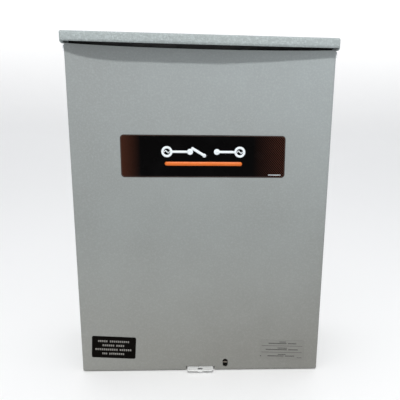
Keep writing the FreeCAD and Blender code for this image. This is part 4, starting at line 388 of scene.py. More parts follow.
dress(black_moulding, "relay_socket", "fuse_block", "terminal_strip")
dress(clear_case("clear_case"), "relay_cover")
dress(metal("relay_steel", (0.58, 0.52, 0.42), 0.35, (1, 0.1, 1), 1.0, 0.4), "relay_core")
dress(moulded("fuse_tube", (0.62, 0.57, 0.44), 0.3, 1500, 0.15), "fuses")
dress(metal("spring_brass", (0.80, 0.60, 0.27), 0.28, (1, 1, 0.1), 1.0, 0.35), "fuse_clips")

# ---------------------------------------------------------------- Load management board
# A green circuit board on white posts carries four relays, a transformer, round capacitors and two rows of green
# terminals. Chip parts too small for the other drawings are soldered between them.

CHIP = (0.0018, 0.0007, 0.0010)
CHIP_PITCH = 0.0041
CHIP_SHARE = 0.42
TRACE_PITCH = 0.0016


def solder_mask(name):
    """Green varnish over copper tracks that run across in some patches and up in others."""
    material, tree, shader, place = new_material(name, (0.008, 0.085, 0.032), 0.3)
    parts = node(tree, "SeparateXYZ", Vector=place)
    bands = []
    for axis in ("X", "Z"):
        scaled = node(tree, "Math", {"operation": "MULTIPLY"})
        tree.links.new(parts.outputs[axis], scaled.inputs[0])
        scaled.inputs[1].default_value = 2 * math.pi / TRACE_PITCH
        wave = node(tree, "Math", {"operation": "SINE"})
        tree.links.new(scaled.outputs[0], wave.inputs[0])
        bands.append(between(tree, wave.outputs[0], 0.35, 0.5))
    patch = node(tree, "TexVoronoi", {"distance": "CHEBYCHEV"}, Vector=place, Scale=75.0)
    channels = node(tree, "SeparateColor", Color=patch.outputs["Color"])
    tracks = node(tree, "Mix", Factor=between(tree, channels.outputs["Red"], 0.49, 0.51))
    tree.links.new(bands[0], tracks.inputs[2])
    tree.links.new(bands[1], tracks.inputs[3])
    shown = node(tree, "Math", {"operation": "MULTIPLY"})
    tree.links.new(tracks.outputs[0], shown.inputs[0])
    tree.links.new(between(tree, channels.outputs["Green"], 0.35, 0.36), shown.inputs[1])
    tint = noise(tree, place, 30)
    ground = mix(tree, tint, (0.006, 0.070, 0.026), (0.010, 0.105, 0.040))
    colour_from(tree, shader, mix(tree, shown.outputs[0], ground, (0.022, 0.20, 0.075)))
    roughness_from(tree, shader, between(tree, tint, 0.3, 0.7, 0.22, 0.36))
    relief(tree, shader, shown.outputs[0], 0.00004)
    return material


def lamp_lens(name, split):
    """Tinted lens: green up to split on X and red beyond it."""
    material, tree, shader, place = new_material(name, (0.1, 0.6, 0.1), 0.2)
    across = node(tree, "SeparateXYZ", Vector=place).outputs["X"]
    tint = mix(tree, between(tree, across, split - 0.0005, split + 0.0005), (0.05, 0.48, 0.09), (0.62, 0.03, 0.01))
    cloud = noise(tree, place, 900)
    colour_from(tree, shader, mix(tree, between(tree, cloud, 0.3, 0.8, 0, 0.3), tint, (0.8, 0.75, 0.6)))
    roughness_from(tree, shader, between(tree, cloud, 0.3, 0.7, 0.12, 0.26))
    relief(tree, shader, cloud, 0.00002)
    return material


def chip_field():
    """A tree that scatters chip parts over a net of places on an upright board, some on end, none by the button."""
    tree, given = new_tree("chip_field", Centre="Vector", Width="Float", Height="Float", Across="Int", Up="Int",
                           Size="Vector", Share="Float", Seed="Int", Button="Vector", Clearance="Float",
                           Body="Material")
    net_of_places = step(tree, "MeshGrid", Size_X=given["Width"], Size_Y=given["Height"],
                         Vertices_X=given["Across"], Vertices_Y=given["Up"])
    upright = step(tree, "Transform", Geometry=net_of_places.outputs[0], Rotation=(math.pi / 2, 0, 0),
                   Translation=given["Centre"])
    block = step(tree, "MeshCube", Size=given["Size"])
    chance = tree.nodes.new("FunctionNodeRandomValue")
    chance.data_type = "BOOLEAN"
    tree.links.new(given["Share"], chance.inputs["Probability"])
    tree.links.new(given["Seed"], chance.inputs["Seed"])
    away = tree.nodes.new("ShaderNodeVectorMath")
    away.operation = "DISTANCE"
    tree.links.new(tree.nodes.new("GeometryNodeInputPosition").outputs[0], away.inputs[0])
    tree.links.new(given["Button"], away.inputs[1])
    clear = tree.nodes.new("FunctionNodeCompare")
    clear.operation = "GREATER_THAN"
    tree.links.new(away.outputs["Value"], clear.inputs[0])
    tree.links.new(given["Clearance"], clear.inputs[1])
    kept = tree.nodes.new("FunctionNodeBooleanMath")
    kept.operation = "AND"
    tree.links.new(chance.outputs[3], kept.inputs[0])
    tree.links.new(clear.outputs[0], kept.inputs[1])
    spin = tree.nodes.new("FunctionNodeRandomValue")
    spin.data_type = "INT"
    spin.inputs[4].default_value = 0
    spin.inputs[5].default_value = 1
    tree.links.new(given["Seed"], spin.inputs["Seed"])
    quarter = tree.nodes.new("ShaderNodeMath")
    quarter.operation = "MULTIPLY"
    tree.links.new(spin.outputs[2], quarter.inputs[0])
    quarter.inputs[1].default_value = math.pi / 2
    turn = tree.nodes.new("ShaderNodeCombineXYZ")
    tree.links.new(quarter.outputs[0], turn.inputs["Y"])
    scattered = step(tree, "InstanceOnPoints", Points=upright.outputs[0], Selection=kept.outputs[0],
                     Instance=block.outputs[0], Rotation=turn.outputs[0])
    return finish_tree(tree, scattered.outputs[0], given["Body"])


board_low, board_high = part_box("controller_board")
board_middle = (board_low + board_high) / 2
lamps_low, lamps_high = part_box("board_lamps")
dress(solder_mask("solder_mask"), "controller_board")
dress(black_moulding, "board_modules")
dress(moulded("green_moulding", (0.012, 0.16, 0.045), 0.36, 1100, 0.15), "board_terminals")
dress(lamp_lens("lamp_lens", lamps_low.x + (lamps_high.x - lamps_low.x) * 0.7), "board_lamps")
BUTTON_CLEARANCE = 0.0025
BOARD_SIDE = 0.008
BOARD_END = 0.016
field_width = board_high.x - board_low.x - 2 * BOARD_SIDE
field_height = board_high.z - board_low.z - 2 * BOARD_END
button_low, button_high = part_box("test_button")
button_middle = (button_low + button_high) / 2
chip_tree = chip_field()
for seed, name, colour, size in ((3, "chip_resistors", (0.02, 0.02, 0.022), CHIP),
                                 (8, "chip_capacitors", (0.42, 0.30, 0.17), (0.0012, 0.0010, 0.0020))):
    chips = grown(chip_tree, name, Width=field_width, Height=field_height,
                  Across=int(field_width / CHIP_PITCH), Up=int(field_height / CHIP_PITCH),
                  Centre=(board_middle.x + 0.0009 * seed - 0.005, board_low.y - size[1] / 2,
                          board_middle.z + 0.0006 * seed - 0.003),
                  Size=size, Share=CHIP_SHARE / 2, Seed=seed,
                  Button=(button_middle.x, board_low.y - size[1] / 2, button_middle.z),
                  Clearance=(button_high.x - button_low.x) / 2 + BUTTON_CLEARANCE,
                  Body=moulded(name + "_body", colour, 0.35, 2500, 0.2))
    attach(chips, "box")

# ---------------------------------------------------------------- Neutral and ground bars
# Two drilled aluminium bars take the neutral and ground wires under slotted screws. The neutral bar stands on
# white insulators.

dress(drawn_aluminium, "neutral_bar", "ground_bar")

# ---------------------------------------------------------------- Control wires
# Vinyl jacketed wires run from the coils, the switches and the board to the fuses, the relay and the strip. Each
# run has a colour of its own.

JACKETS = {"red": (0.42, 0.020, 0.015), "black": (0.020, 0.020, 0.022), "blue": (0.02, 0.07, 0.32),
           "yellow": (0.62, 0.43, 0.03), "white": (0.66, 0.65, 0.60), "orange": (0.60, 0.17, 0.02)}


def islands(mesh):
    """The faces of a bmesh in connected groups."""
    groups, seen = [], set()
    for start in mesh.faces:
        if start in seen:
            continue
        group, rest = [], [start]
        seen.add(start)
        while rest:
            face = rest.pop()
            group.append(face)
            for edge in face.edges:
                for other in edge.link_faces:
                    if other not in seen:
                        seen.add(other)
                        rest.append(other)
        groups.append(group)
    return groups


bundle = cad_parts["control_wires"]
jackets = bmesh.new()
jackets.from_mesh(bundle.data)
jackets.transform(bundle.matrix_world)
bmesh.ops.remove_doubles(jackets, verts=jackets.verts, dist=1e-6)
vinyls = [moulded(f"{colour}_vinyl", tone, 0.34, 1500, 0.2) for colour, tone in JACKETS.items()]
runs = sorted(islands(jackets), key=lambda run: min(face.calc_center_median().x for face in run))
for n, run in enumerate(runs):
    for face in run:
        face.material_index = n % len(vinyls)
wire_jackets = piece_from(jackets, "wire_jackets", vinyls[0], 40)
for vinyl in vinyls[1:]:
    wire_jackets.data.materials.append(vinyl)
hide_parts("control_wires")
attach(wire_jackets, "box")

# ---------------------------------------------------------------- Inner guard
# A hemmed galvanised plate on four hexagon posts covers the breaker's terminals, with a window for the handle.

dress(spangle, "dead_front")
dress(bright_zinc, "dead_front_posts")

# ---------------------------------------------------------------- Drip lid
# The lid is a tray folded from one sheet, welded over the open top of the box. Its front lip hangs proud of the
# cover and sags a little between its ends. It is coated with a coarser powder than the cover.

SHEET = 0.0016
LIP_SAG = 0.0003
FRONT_LIP = 0.0130
LIP_SLOPE = 0.010
LID_BEND = 0.0022
LID_GRAIN = 520
LID_GREY = (0.325, 0.366, 0.370)
LID_WORN = (0.290, 0.325, 0.325)

lid_low, lid_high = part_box("drip_lid")


def net(mesh, low, high, axis, level, pitch):
    """A flat net of squares that covers one face of the box from low to high."""
    first, second = [a for a in range(3) if a != axis]
    counts = [max(1, round((high[a] - low[a]) / pitch)) for a in (first, second)]
    rows = []
    for i in range(counts[0] + 1):
        row = []
        for j in range(counts[1] + 1):
            spot = [0, 0, 0]
            spot[axis] = level
            spot[first] = low[first] + (high[first] - low[first]) * i / counts[0]
            spot[second] = low[second] + (high[second] - low[second]) * j / counts[1]
            row.append(mesh.verts.new(spot))
        rows.append(row)
    for i in range(counts[0]):
        for j in range(counts[1]):
            mesh.faces.new((rows[i][j], rows[i + 1][j], rows[i + 1][j + 1], rows[i][j + 1]))


def folded_sheet(low, high, faces, pitch, bend):
    """The outside of a folded tray with the given faces, each an axis and its end, and with rounded bends."""
    mesh = bmesh.new()
    for axis, end in faces:
        net(mesh, low, high, axis, (low, high)[end][axis], pitch)
    bmesh.ops.remove_doubles(mesh, verts=mesh.verts, dist=1e-6)
    middle = (Vector(low) + Vector(high)) / 2
    for face in mesh.faces:
        face.normal_update()
        if face.normal.dot(face.calc_center_median() - middle) < 0:
            face.normal_flip()
    bends = [e for e in mesh.edges if len(e.link_faces) == 2 and e.calc_face_angle() > 1]
    bmesh.ops.bevel(mesh, geom=bends, offset=bend, offset_type="OFFSET", segments=3, profile=0.5,
                    affect="EDGES")
    return mesh


def thicken(made, gauge):
    solid = made.modifiers.new("gauge", "SOLIDIFY")
    solid.thickness = gauge
    solid.offset = -1
    solid.use_even_offset = True
    return settle(made)


lid_paint = powder_coat("lid_powder_coat", LID_GREY, LID_WORN, LID_GRAIN, 0.0010, 1.0, 1.32)
tray = folded_sheet(lid_low, lid_high, [(2, 1), (1, 0), (0, 0), (0, 1)], 0.006, LID_BEND)
lid_half = lid_high.x
side_lip = lid_high.z - lid_low.z
for corner in tray.verts:
    drop = (lid_high.z - corner.co.z) / side_lip
    if corner.co.z < lid_high.z - LID_BEND:
        back = min(1, max(0, (corner.co.y - lid_low.y) / LIP_SLOPE))
        corner.co.z = lid_high.z - drop * (FRONT_LIP + (side_lip - FRONT_LIP) * back)
        if corner.co.y < lid_low.y + LID_BEND:
            corner.co.z -= LIP_SAG * drop * (1 - (corner.co.x / lid_half) ** 2)
drip_lid = thicken(piece_from(tray, "rain_lid", lid_paint), SHEET)
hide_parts("drip_lid")
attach(drip_lid, "box")

# ---------------------------------------------------------------- Front cover
# The cover is a shallow pan that hangs from two pins near its top corners. Its top edge is free and thin, so it
# has been pushed in between the pins, with one sharper crease, and faint ripples run down from there.

COVER_BEND = 0.0022
BOW = 0.0114
BOW_REACH = 0.11
BOW_LEFT = (-0.080, 0.103, 3.2)
BOW_RIGHT = (0.025, 0.150, 1.15)
CREASE_ACROSS = -0.027
CREASE = 0.0010
DIP = 0.0034
DIP_REACH = 0.012
RIPPLE = 0.00018

cover_low, cover_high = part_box("front_cover")
cover_half = cover_high.x


def pushed_in(x, z):
    """How far the cover's sheet lies behind its flat plane."""
    below = max(0, cover_high.z - z)
    left = max(0, 1 - max(0, (BOW_LEFT[0] - x) / BOW_LEFT[1]) ** BOW_LEFT[2])
    right = max(0, 1 - max(0, (x - BOW_RIGHT[0]) / BOW_RIGHT[1]) ** BOW_RIGHT[2])
    push = BOW * left * right * math.exp(-(below / BOW_REACH) ** 1.6)
    crease = CREASE * math.exp(-((x - CREASE_ACROSS) / 0.005) ** 2) * math.exp(-below / 0.03)
    across = max(0, 1 - (x / cover_half) ** 2)
    foot = min(1, max(0, z / 0.06))
    ripple = RIPPLE * foot * across * (math.sin(x * 95 + math.sin(z * 11) * 1.1) + math.sin(x * 41 + z * 17 + 1))
    return max(0, push - crease + ripple * math.exp(-below / 0.35) + RIPPLE * across * foot)


# The cover's coat has painted light and shade: brighter and cooler at the top, darker and warmer low down.
cover_paint = powder_coat("cover_powder_coat", PAINT_GREY, PAINT_WORN, 520, 0.00014, 0.4, 1.25, True)
pan = folded_sheet(cover_low, cover_high, [(1, 0), (0, 0), (0, 1), (2, 0)], 0.004, COVER_BEND)
rim_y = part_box("enclosure")[0].y
for corner in pan.verts:
    if corner.co.y < cover_low.y + 1e-5:
        across = max(0, 1 - (corner.co.x / cover_half) ** 2)
        nearness = max(0, 1 - (cover_high.z - corner.co.z) / DIP_REACH)
        corner.co.y += pushed_in(corner.co.x, corner.co.z)
        corner.co.z -= DIP * across ** 0.8 * nearness
foot_faces = [f for f in pan.faces if f.calc_center_median().z < cover_low.z + 1e-4
              and f.calc_center_median().y > rim_y - 0.001]
bmesh.ops.delete(pan, geom=foot_faces, context="FACES")
front_cover = thicken(piece_from(pan, "cover_pan", cover_paint), SHEET)


def slot_mesh(mesh, centre, radius, run, span, sides=24):
    """Adds a closed upright slot with round ends, cut from front to back."""
    ends = []
    for level in span:
        ring = []
        for k in range(2 * sides + 2):
            upper = k <= sides
            angle = math.pi * (k if upper else k - 1) / sides
            rise = run if upper else -run
            ring.append(mesh.verts.new((centre[0] + radius * math.cos(angle), level,
                                        centre[1] + rise + radius * math.sin(angle))))
        ends.append(ring)
    faces = [mesh.faces.new(ends[0]), mesh.faces.new(ends[1])]
    for k in range(len(ends[0])):
        faces.append(mesh.faces.new((ends[0][k], ends[1][k], ends[1][k - 1], ends[0][k - 1])))
    bmesh.ops.recalc_face_normals(mesh, faces=faces)


def box_mesh(mesh, low, high):
    """Adds a closed block to a bmesh."""
    made = bmesh.ops.create_cube(mesh, size=1)["verts"]
    for corner in made:
        for a in range(3):
            corner.co[a] = low[a] if corner.co[a] < 0 else high[a]
    return made


def carve(made, cutter_mesh):
    """Cuts the closed shapes of a bmesh out of a piece."""
    cutter = piece_from(cutter_mesh, made.name + "_cutter", made.data.materials[0])
    knife = made.modifiers.new("cut", "BOOLEAN")
    knife.operation = "DIFFERENCE"
    knife.object = cutter
    knife.solver = "EXACT"
    settle(made)
    bpy.data.objects.remove(cutter)
    made.data.polygons.foreach_set("use_smooth", [True] * len(made.data.polygons))
    made.data.set_sharp_from_angle(angle=math.radians(35))
    return made


SEAL_ACROSS = 0.0375
SEAL_UP = 0.0135
SEAL_RADIUS = 0.004
SEAL_RUN = 0.0029
hasp_low, hasp_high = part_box("hasp_bracket")
NOTCH_GAP = 0.002
NOTCH_HEAD = 0.0008
slots = bmesh.new()
front_span = (cover_low.y - 0.002, cover_low.y + 0.006)
slot_mesh(slots, (SEAL_ACROSS, SEAL_UP), SEAL_RADIUS, SEAL_RUN, front_span)
front_cover = carve(front_cover, slots)
notch = bmesh.new()
box_mesh(notch, (hasp_low.x - NOTCH_GAP, cover_low.y - 0.002, -0.002),
         (hasp_high.x + NOTCH_GAP, rim_y + 0.001, hasp_high.z + NOTCH_HEAD))
front_cover = carve(front_cover, notch)
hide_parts("front_cover")
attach(front_cover, "cover")

# ---------------------------------------------------------------- Cover gasket
# A ring of closed cell foam, glued round the inside of the cover. It meets the box's rim when the cover is shut,
# and it follows the sheet that it is glued to.

GASKET_WIDTH = 0.010
GASKET_ROUND = 0.0015

gasket_low, gasket_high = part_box("door_gasket")


def foam(name):
    """Closed cell foam: black, matt, with pores that show as small pits."""
    material, tree, shader, place = new_material(name, (0.018, 0.018, 0.02), 0.92)
    cells = node(tree, "TexVoronoi", Vector=place, Scale=900.0).outputs["Distance"]
    tone = between(tree, noise(tree, place, 60), 0.3, 0.7, 0, 1)
    colour_from(tree, shader, mix(tree, tone, (0.014, 0.014, 0.016), (0.032, 0.031, 0.03)))
    roughness_from(tree, shader, between(tree, cells, 0, 0.6, 0.85, 0.97))
    relief(tree, shader, cells, 0.0003)
    return material


def ring_path(low, high, pitch):
    """Points round a rectangle from low to high on X and Z, each with its outward direction."""
    corners = [(low[0], low[1]), (high[0], low[1]), (high[0], high[1]), (low[0], high[1])]
    points = []
    for k in range(4):
        (x0, z0), (x1, z1) = corners[k], corners[(k + 1) % 4]
        count = max(1, round(math.hypot(x1 - x0, z1 - z0) / pitch))
        out = (z1 - z0, x0 - x1)
        size = math.hypot(*out)
        before = ((corners[k][1] - corners[k - 1][1]), (corners[k - 1][0] - corners[k][0]))
        length = math.hypot(*before)
        both = (out[0] / size + before[0] / length, out[1] / size + before[1] / length)
        points.append((x0, z0, both))
        for n in range(1, count):
            points.append((x0 + (x1 - x0) * n / count, z0 + (z1 - z0) * n / count,
                           (out[0] / size, out[1] / size)))
    return points


ring = bmesh.new()
inset = GASKET_WIDTH / 2
middle_line = ring_path((gasket_low.x + inset, gasket_low.z + inset),
                        (gasket_high.x - inset, gasket_high.z - inset), 0.006)
section = []
for quarter, (side, level) in enumerate(((1, 0), (1, 1), (-1, 1), (-1, 0))):
    for k in range(3):
        angle = math.radians(90 * quarter + 45 * k)
        section.append((side, level, GASKET_ROUND * math.sin(angle), GASKET_ROUND * math.cos(angle)))
loops = []
for x, z, out in middle_line:
    back = gasket_high.y
    loop = []
    for side, level, spread, rise in section:
        reach = side * (inset - GASKET_ROUND) + spread
        px, pz = x + out[0] * reach, z + out[1] * reach
        front = cover_low.y + SHEET + pushed_in(px, pz)
        y = (front + GASKET_ROUND, back - GASKET_ROUND)[level]
        loop.append(ring.verts.new((px, y - rise, pz)))
    loops.append(loop)
for a, b in zip(loops, loops[1:] + loops[:1]):
    for k in range(len(section)):
        n = (k + 1) % len(section)
        ring.faces.new((a[k], a[n], b[n], b[k]))
bmesh.ops.recalc_face_normals(ring, faces=ring.faces)
black_foam = foam("closed_cell_foam")
# The rain strip's black foam on the box's header also darkens the gap under the lid, which lies in shade. It is
# partly the strip's own black and partly painted shade.
dress(black_foam, "rain_strip")
gasket = piece_from(ring, "cover_gasket", black_foam, 60)
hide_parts("door_gasket")
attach(gasket, "cover")

# ---------------------------------------------------------------- Labels on the cover
# Three printed polyester films are stuck on the outside and follow the sheet. The wide one is black and fades
# to brown at its ends. It carries a two-way switch symbol over a plain bar. The small ones carry rows of blocks.

FILM = 0.0003
INK = 0.00005


def corner_round(share_x, share_z):
    """Moves a point of the unit square into the unit quarter disc."""
    return (share_x * math.sqrt(1 - share_z ** 2 / 2), share_z * math.sqrt(1 - share_x ** 2 / 2))


def steps(half, round_radius, pitch):
    """Places from -half to half, close together near the ends."""
    inner = half - round_radius
    count = max(2, round(2 * inner / pitch))
    line = [-half + round_radius * k / 5 for k in range(5)]
    line += [-inner + 2 * inner * k / count for k in range(count + 1)]
    return line + [inner + round_radius * k / 5 for k in range(1, 6)]


def turned(x, z, tilt):
    """A point turned clockwise as seen from the front, in radians."""
    return x * math.cos(tilt) + z * math.sin(tilt), z * math.cos(tilt) - x * math.sin(tilt)


def on_cover(mesh, middle, tilt, proud, side=-1):
    """Lays a flat bmesh, drawn round its own middle, on the cover's sheet: outside, or inside where side is 1."""
    skin = cover_low.y + (SHEET if side > 0 else 0)
    for corner in mesh.verts:
        x, z = turned(corner.co.x, corner.co.z, tilt)
        corner.co.x, corner.co.z = middle[0] + x, middle[1] + z
        corner.co.y = skin + pushed_in(corner.co.x, corner.co.z) + side * proud
    for face in mesh.faces:
        face.normal_update()
        if face.normal.y * side < 0:
            face.normal_flip()


def film(name, cad_name, size, corner, material, tilt=0.0, side=-1):
    """A label film with rounded corners, in place of its CAD node."""
    low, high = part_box(cad_name)
    middle = ((low.x + high.x) / 2, (low.z + high.z) / 2)
    half_x, half_z = size[0] / 2, size[1] / 2
    mesh = bmesh.new()
    rows = []
    for x in steps(half_x, corner, 0.004):
        row = []
        for z in steps(half_z, corner, 0.004):
            over_x, over_z = abs(x) - (half_x - corner), abs(z) - (half_z - corner)
            px, pz = x, z
            if over_x > 0 and over_z > 0:
                a, b = corner_round(over_x / corner, over_z / corner)
                px = math.copysign(half_x - corner + a * corner, x)
                pz = math.copysign(half_z - corner + b * corner, z)
            row.append(mesh.verts.new((px, 0, pz)))
        rows.append(row)
    for a, b in zip(rows, rows[1:]):
        for k in range(len(a) - 1):
            mesh.faces.new((a[k], b[k], b[k + 1], a[k + 1]))
    on_cover(mesh, middle, tilt, FILM, side)
    made = thicken(piece_from(mesh, name, material), FILM)
    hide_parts(cad_name)
    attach(made, "cover")
    return made, middle


def stroke(mesh, points, width):
    """A line of ink through points, with round ends."""
    half = width / 2
    runs = [0]
    for (x0, z0), (x1, z1) in zip(points, points[1:]):
        runs.append(runs[-1] + math.hypot(x1 - x0, z1 - z0))
    length = runs[-1]
    inner = max(2, round((length) / 0.003))
    places = [-half + half * (1 - math.cos(math.pi / 2 * k / 5)) for k in range(5)]
    places += [length * k / inner for k in range(inner + 1)]
    places += [length + half * math.sin(math.pi / 2 * k / 5) for k in range(1, 6)]
    before = None
    for along in places:
        k = max(i for i in range(len(points) - 1) if runs[i] <= max(along, 0) + 1e-12)
        (x0, z0), (x1, z1) = points[k], points[k + 1]
        run = runs[k + 1] - runs[k]
        ux, uz = (x1 - x0) / run, (z1 - z0) / run
        over = max(-along, along - length, 0)
        wide = max(math.sqrt(max(half ** 2 - over ** 2, 0)), half * 0.02)
        x, z = x0 + ux * (along - runs[k]), z0 + uz * (along - runs[k])
        pair = (mesh.verts.new((x - uz * wide, 0, z + ux * wide)),
                mesh.verts.new((x + uz * wide, 0, z - ux * wide)))
        if before:
            mesh.faces.new((before[0], before[1], pair[1], pair[0]))
        before = pair


def circle_stroke(mesh, centre, radius, width, sides=48):
    """A ring of ink."""
    rings = []
    for k in range(sides):
        angle = 2 * math.pi * k / sides
        rings.append([mesh.verts.new((centre[0] + r * math.cos(angle), 0, centre[1] + r * math.sin(angle)))
                      for r in (radius - width / 2, radius + width / 2)])
    for k in range(sides):
        mesh.faces.new((rings[k - 1][0], rings[k - 1][1], rings[k][1], rings[k][0]))


def ink(name, colour, roughness=0.45):
    """Screen ink: an even colour with slight wear and a fine grain."""
    material, tree, shader, place = new_material(name, colour, roughness)
    wear = noise(tree, place, 700, 3, 0.6)
    dull = [c * 0.82 for c in colour]
    colour_from(tree, shader, mix(tree, between(tree, wear, 0.4, 0.75), colour, dull))
    roughness_from(tree, shader, between(tree, wear, 0.3, 0.7, roughness - 0.06, roughness + 0.1))
    relief(tree, shader, wear, 0.00002)
    return material


def print_on(name, mesh, middle, tilt, material, side=-1):
    """Turns flat ink shapes into a thin print on a label."""
    on_cover(mesh, middle, tilt, FILM + INK, side)
    made = thicken(piece_from(mesh, name, material), INK)
    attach(made, "cover")
    return made


GLOW_WIDTH = 0.028
HATCH_WIDTH = 0.046
HATCH_EDGE = 0.010
HATCH_PITCH = 0.0036
HATCH_SLOPE = 1.15


def gloss_film(name, black, brown, ends):
    """Black film whose ends fade to brown through a fine slanted hatch."""
    material, tree, shader, place = new_material(name, black, 0.24)
    parts = node(tree, "SeparateXYZ", Vector=place)
    x, z = parts.outputs["X"], parts.outputs["Z"]
    left = between(tree, x, ends[0] + GLOW_WIDTH, ends[0])
    right = between(tree, x, ends[1] - HATCH_WIDTH, ends[1] - HATCH_EDGE)
    slant = node(tree, "Math", {"operation": "MULTIPLY_ADD"})
    tree.links.new(x, slant.inputs[0])
    slant.inputs[1].default_value = HATCH_SLOPE
    tree.links.new(z, slant.inputs[2])
    wave = node(tree, "Math", {"operation": "MULTIPLY"})
    tree.links.new(slant.outputs[0], wave.inputs[0])
    wave.inputs[1].default_value = 2 * math.pi / HATCH_PITCH
    line = node(tree, "Math", {"operation": "SINE"})
    tree.links.new(wave.outputs[0], line.inputs[0])
    hatch = between(tree, line.outputs[0], 0.62, 0.96)
    glow = mix(tree, left, black, brown)
    striped = mix(tree, hatch, black, [c * 2.2 for c in brown])
    whole = mix(tree, right, glow, striped)
    cloud = noise(tree, place, 30, 4)
    dusty = mix(tree, between(tree, cloud, 0.55, 0.8, 0, 0.04), whole, (0.04, 0.04, 0.04))
    colour_from(tree, shader, dusty)
    shader.inputs["Specular IOR Level"].default_value = 0.03
    roughness_from(tree, shader, between(tree, cloud, 0.3, 0.7, 0.2, 0.34))
    relief(tree, shader, noise(tree, place, 240, 2), 0.00004)
    return material


NAME_SIZE = (0.2325, 0.0604)
NAME_TILT = math.radians(-0.5)
name_low, name_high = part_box("name_label")
name_film = gloss_film("black_gloss_film", (0.0012, 0.0011, 0.0012), (0.042, 0.014, 0.008),
                       (name_low.x, name_high.x))
name_piece, name_middle = film("name_film", "name_label", NAME_SIZE, 0.005, name_film, NAME_TILT)

# The switch symbol: two source rings, their leads and contacts, and a blade that joins one to the pivot.
SYMBOL_UP = 0.0065
RING_ACROSS = 0.0515
RING_RADIUS = 0.0062
CONTACT_ACROSS = 0.019
LINE = 0.0034
white_ink = ink("white_screen_ink", (0.80, 0.86, 0.90))
orange_ink = ink("orange_screen_ink", (0.74, 0.150, 0.006))
symbol = bmesh.new()
for sign in (-1, 1):
    circle_stroke(symbol, (sign * RING_ACROSS, SYMBOL_UP), RING_RADIUS, LINE)
    stroke(symbol, [(sign * (RING_ACROSS - RING_RADIUS), SYMBOL_UP), (sign * CONTACT_ACROSS, SYMBOL_UP)], LINE)
    circle_stroke(symbol, (sign * CONTACT_ACROSS, SYMBOL_UP), 0.0026, LINE)
    wave = [(sign * RING_ACROSS + 0.0036 * (k / 8 - 1), SYMBOL_UP + 0.0019 * math.sin(math.pi * k / 8))
            for k in range(17)]
    stroke(symbol, wave, 0.0014)
stroke(symbol, [(0.001, SYMBOL_UP - 0.0052), (-0.0155, SYMBOL_UP + 0.0048)], LINE * 1.15)
circle_stroke(symbol, (0.001, SYMBOL_UP - 0.0052), 0.0014, 0.0028)
print_on("switch_symbol", symbol, name_middle, NAME_TILT, white_ink)
accent = bmesh.new()
stroke(accent, [(-0.052, -0.0105), (0.052, -0.0105)], 0.0056)
print_on("accent_bar", accent, name_middle, NAME_TILT, orange_ink)
frame_line = bmesh.new()
half_x, half_z, corner = NAME_SIZE[0] / 2 - 0.0011, NAME_SIZE[1] / 2 - 0.0011, 0.004
border = []
for quarter, (sx, sz) in enumerate(((1, 1), (-1, 1), (-1, -1), (1, -1))):
    for k in range(7):
        angle = math.radians(90 * quarter + 15 * k)
        border.append((sx * (half_x - corner) + corner * math.cos(angle),
                       sz * (half_z - corner) + corner * math.sin(angle)))
stroke(frame_line, border + border[:1], 0.0005)
print_on("name_border", frame_line, name_middle, NAME_TILT, ink("brown_screen_ink", (0.045, 0.02, 0.011)))


def block_rows():
    """A tree that lays a row of equal blocks, as printed words are laid out where they can't be read."""
    tree, given = new_tree("block_row", Count="Int", Start="Vector", Pitch="Vector", Width="Float",
                           Height="Float", Ink="Material")
    row = step(tree, "MeshLine", Count=given["Count"], Start_Location=given["Start"], Offset=given["Pitch"])
    block = step(tree, "MeshGrid", Size_X=given["Width"], Size_Y=given["Height"], Vertices_X=2, Vertices_Y=3)
    stand = step(tree, "Transform", Geometry=block.outputs["Mesh"], Rotation=(math.pi / 2, 0, 0))
    laid = step(tree, "InstanceOnPoints", Points=row.outputs["Mesh"], Instance=stand.outputs[0])
    return finish_tree(tree, laid.outputs[0], given["Ink"])


rows_tree = block_rows()


def words(name, lines, pitch, material, middle, tilt):
    """Rows of blocks in words. Each line is its height, its block's height and its words, as start and end."""
    mesh = bmesh.new()
    for level, height, spans in lines:
        for start, end in spans:
            count = max(1, round((end - start) / pitch))
            step = (end - start) / count
            row = grown(rows_tree, "row", Count=count, Start=(start + step / 2, 0.0, level),
                        Pitch=(step, 0.0, 0.0), Width=step * 0.68, Height=height, Ink=material)
            mesh.from_mesh(row.data)
            bpy.data.objects.remove(row)
    return print_on(name, mesh, middle, tilt, material)


words("name_code", [(-0.0262, 0.0013, [(0.0925, 0.1105)])], 0.0015, white_ink, name_middle, NAME_TILT)

NOTICE_SIZE = (0.0665, 0.0365)
NOTICE_TILT = math.radians(3.2)
notice_film = gloss_film("dark_notice_film", (0.0026, 0.0020, 0.0014), (0.005, 0.004, 0.003), (-0.2, -0.05))
notice_piece, notice_middle = film("notice_film", "notice_label", NOTICE_SIZE, 0.0025, notice_film, NOTICE_TILT)
words("notice_rows", [(0.0100, 0.0032, [(-0.0245, -0.0095), (-0.0068, 0.0232)]),
                      (0.0030, 0.0032, [(-0.0178, 0.0008), (0.0030, 0.0160)]),
                      (-0.0040, 0.0032, [(-0.0286, 0.0062), (0.0084, 0.0270)]),
                      (-0.0110, 0.0032, [(-0.0178, -0.0096), (-0.0074, 0.0162)])],
      0.0031, ink("pale_screen_ink", (0.24, 0.23, 0.21)), notice_middle, NOTICE_TILT)

CAUTION_SIZE = (0.069, 0.032)
CAUTION_TILT = math.radians(1.8)


def clear_film(name):
    """Clear matt film over the paint: it shows the paint's grey, a shade smoother, with the same painted light and
    shade as the cover.
    """
    return powder_coat(name, [c * 0.97 for c in PAINT_GREY], PAINT_WORN, 160, 0.00003, 0.1, 1.16, True)


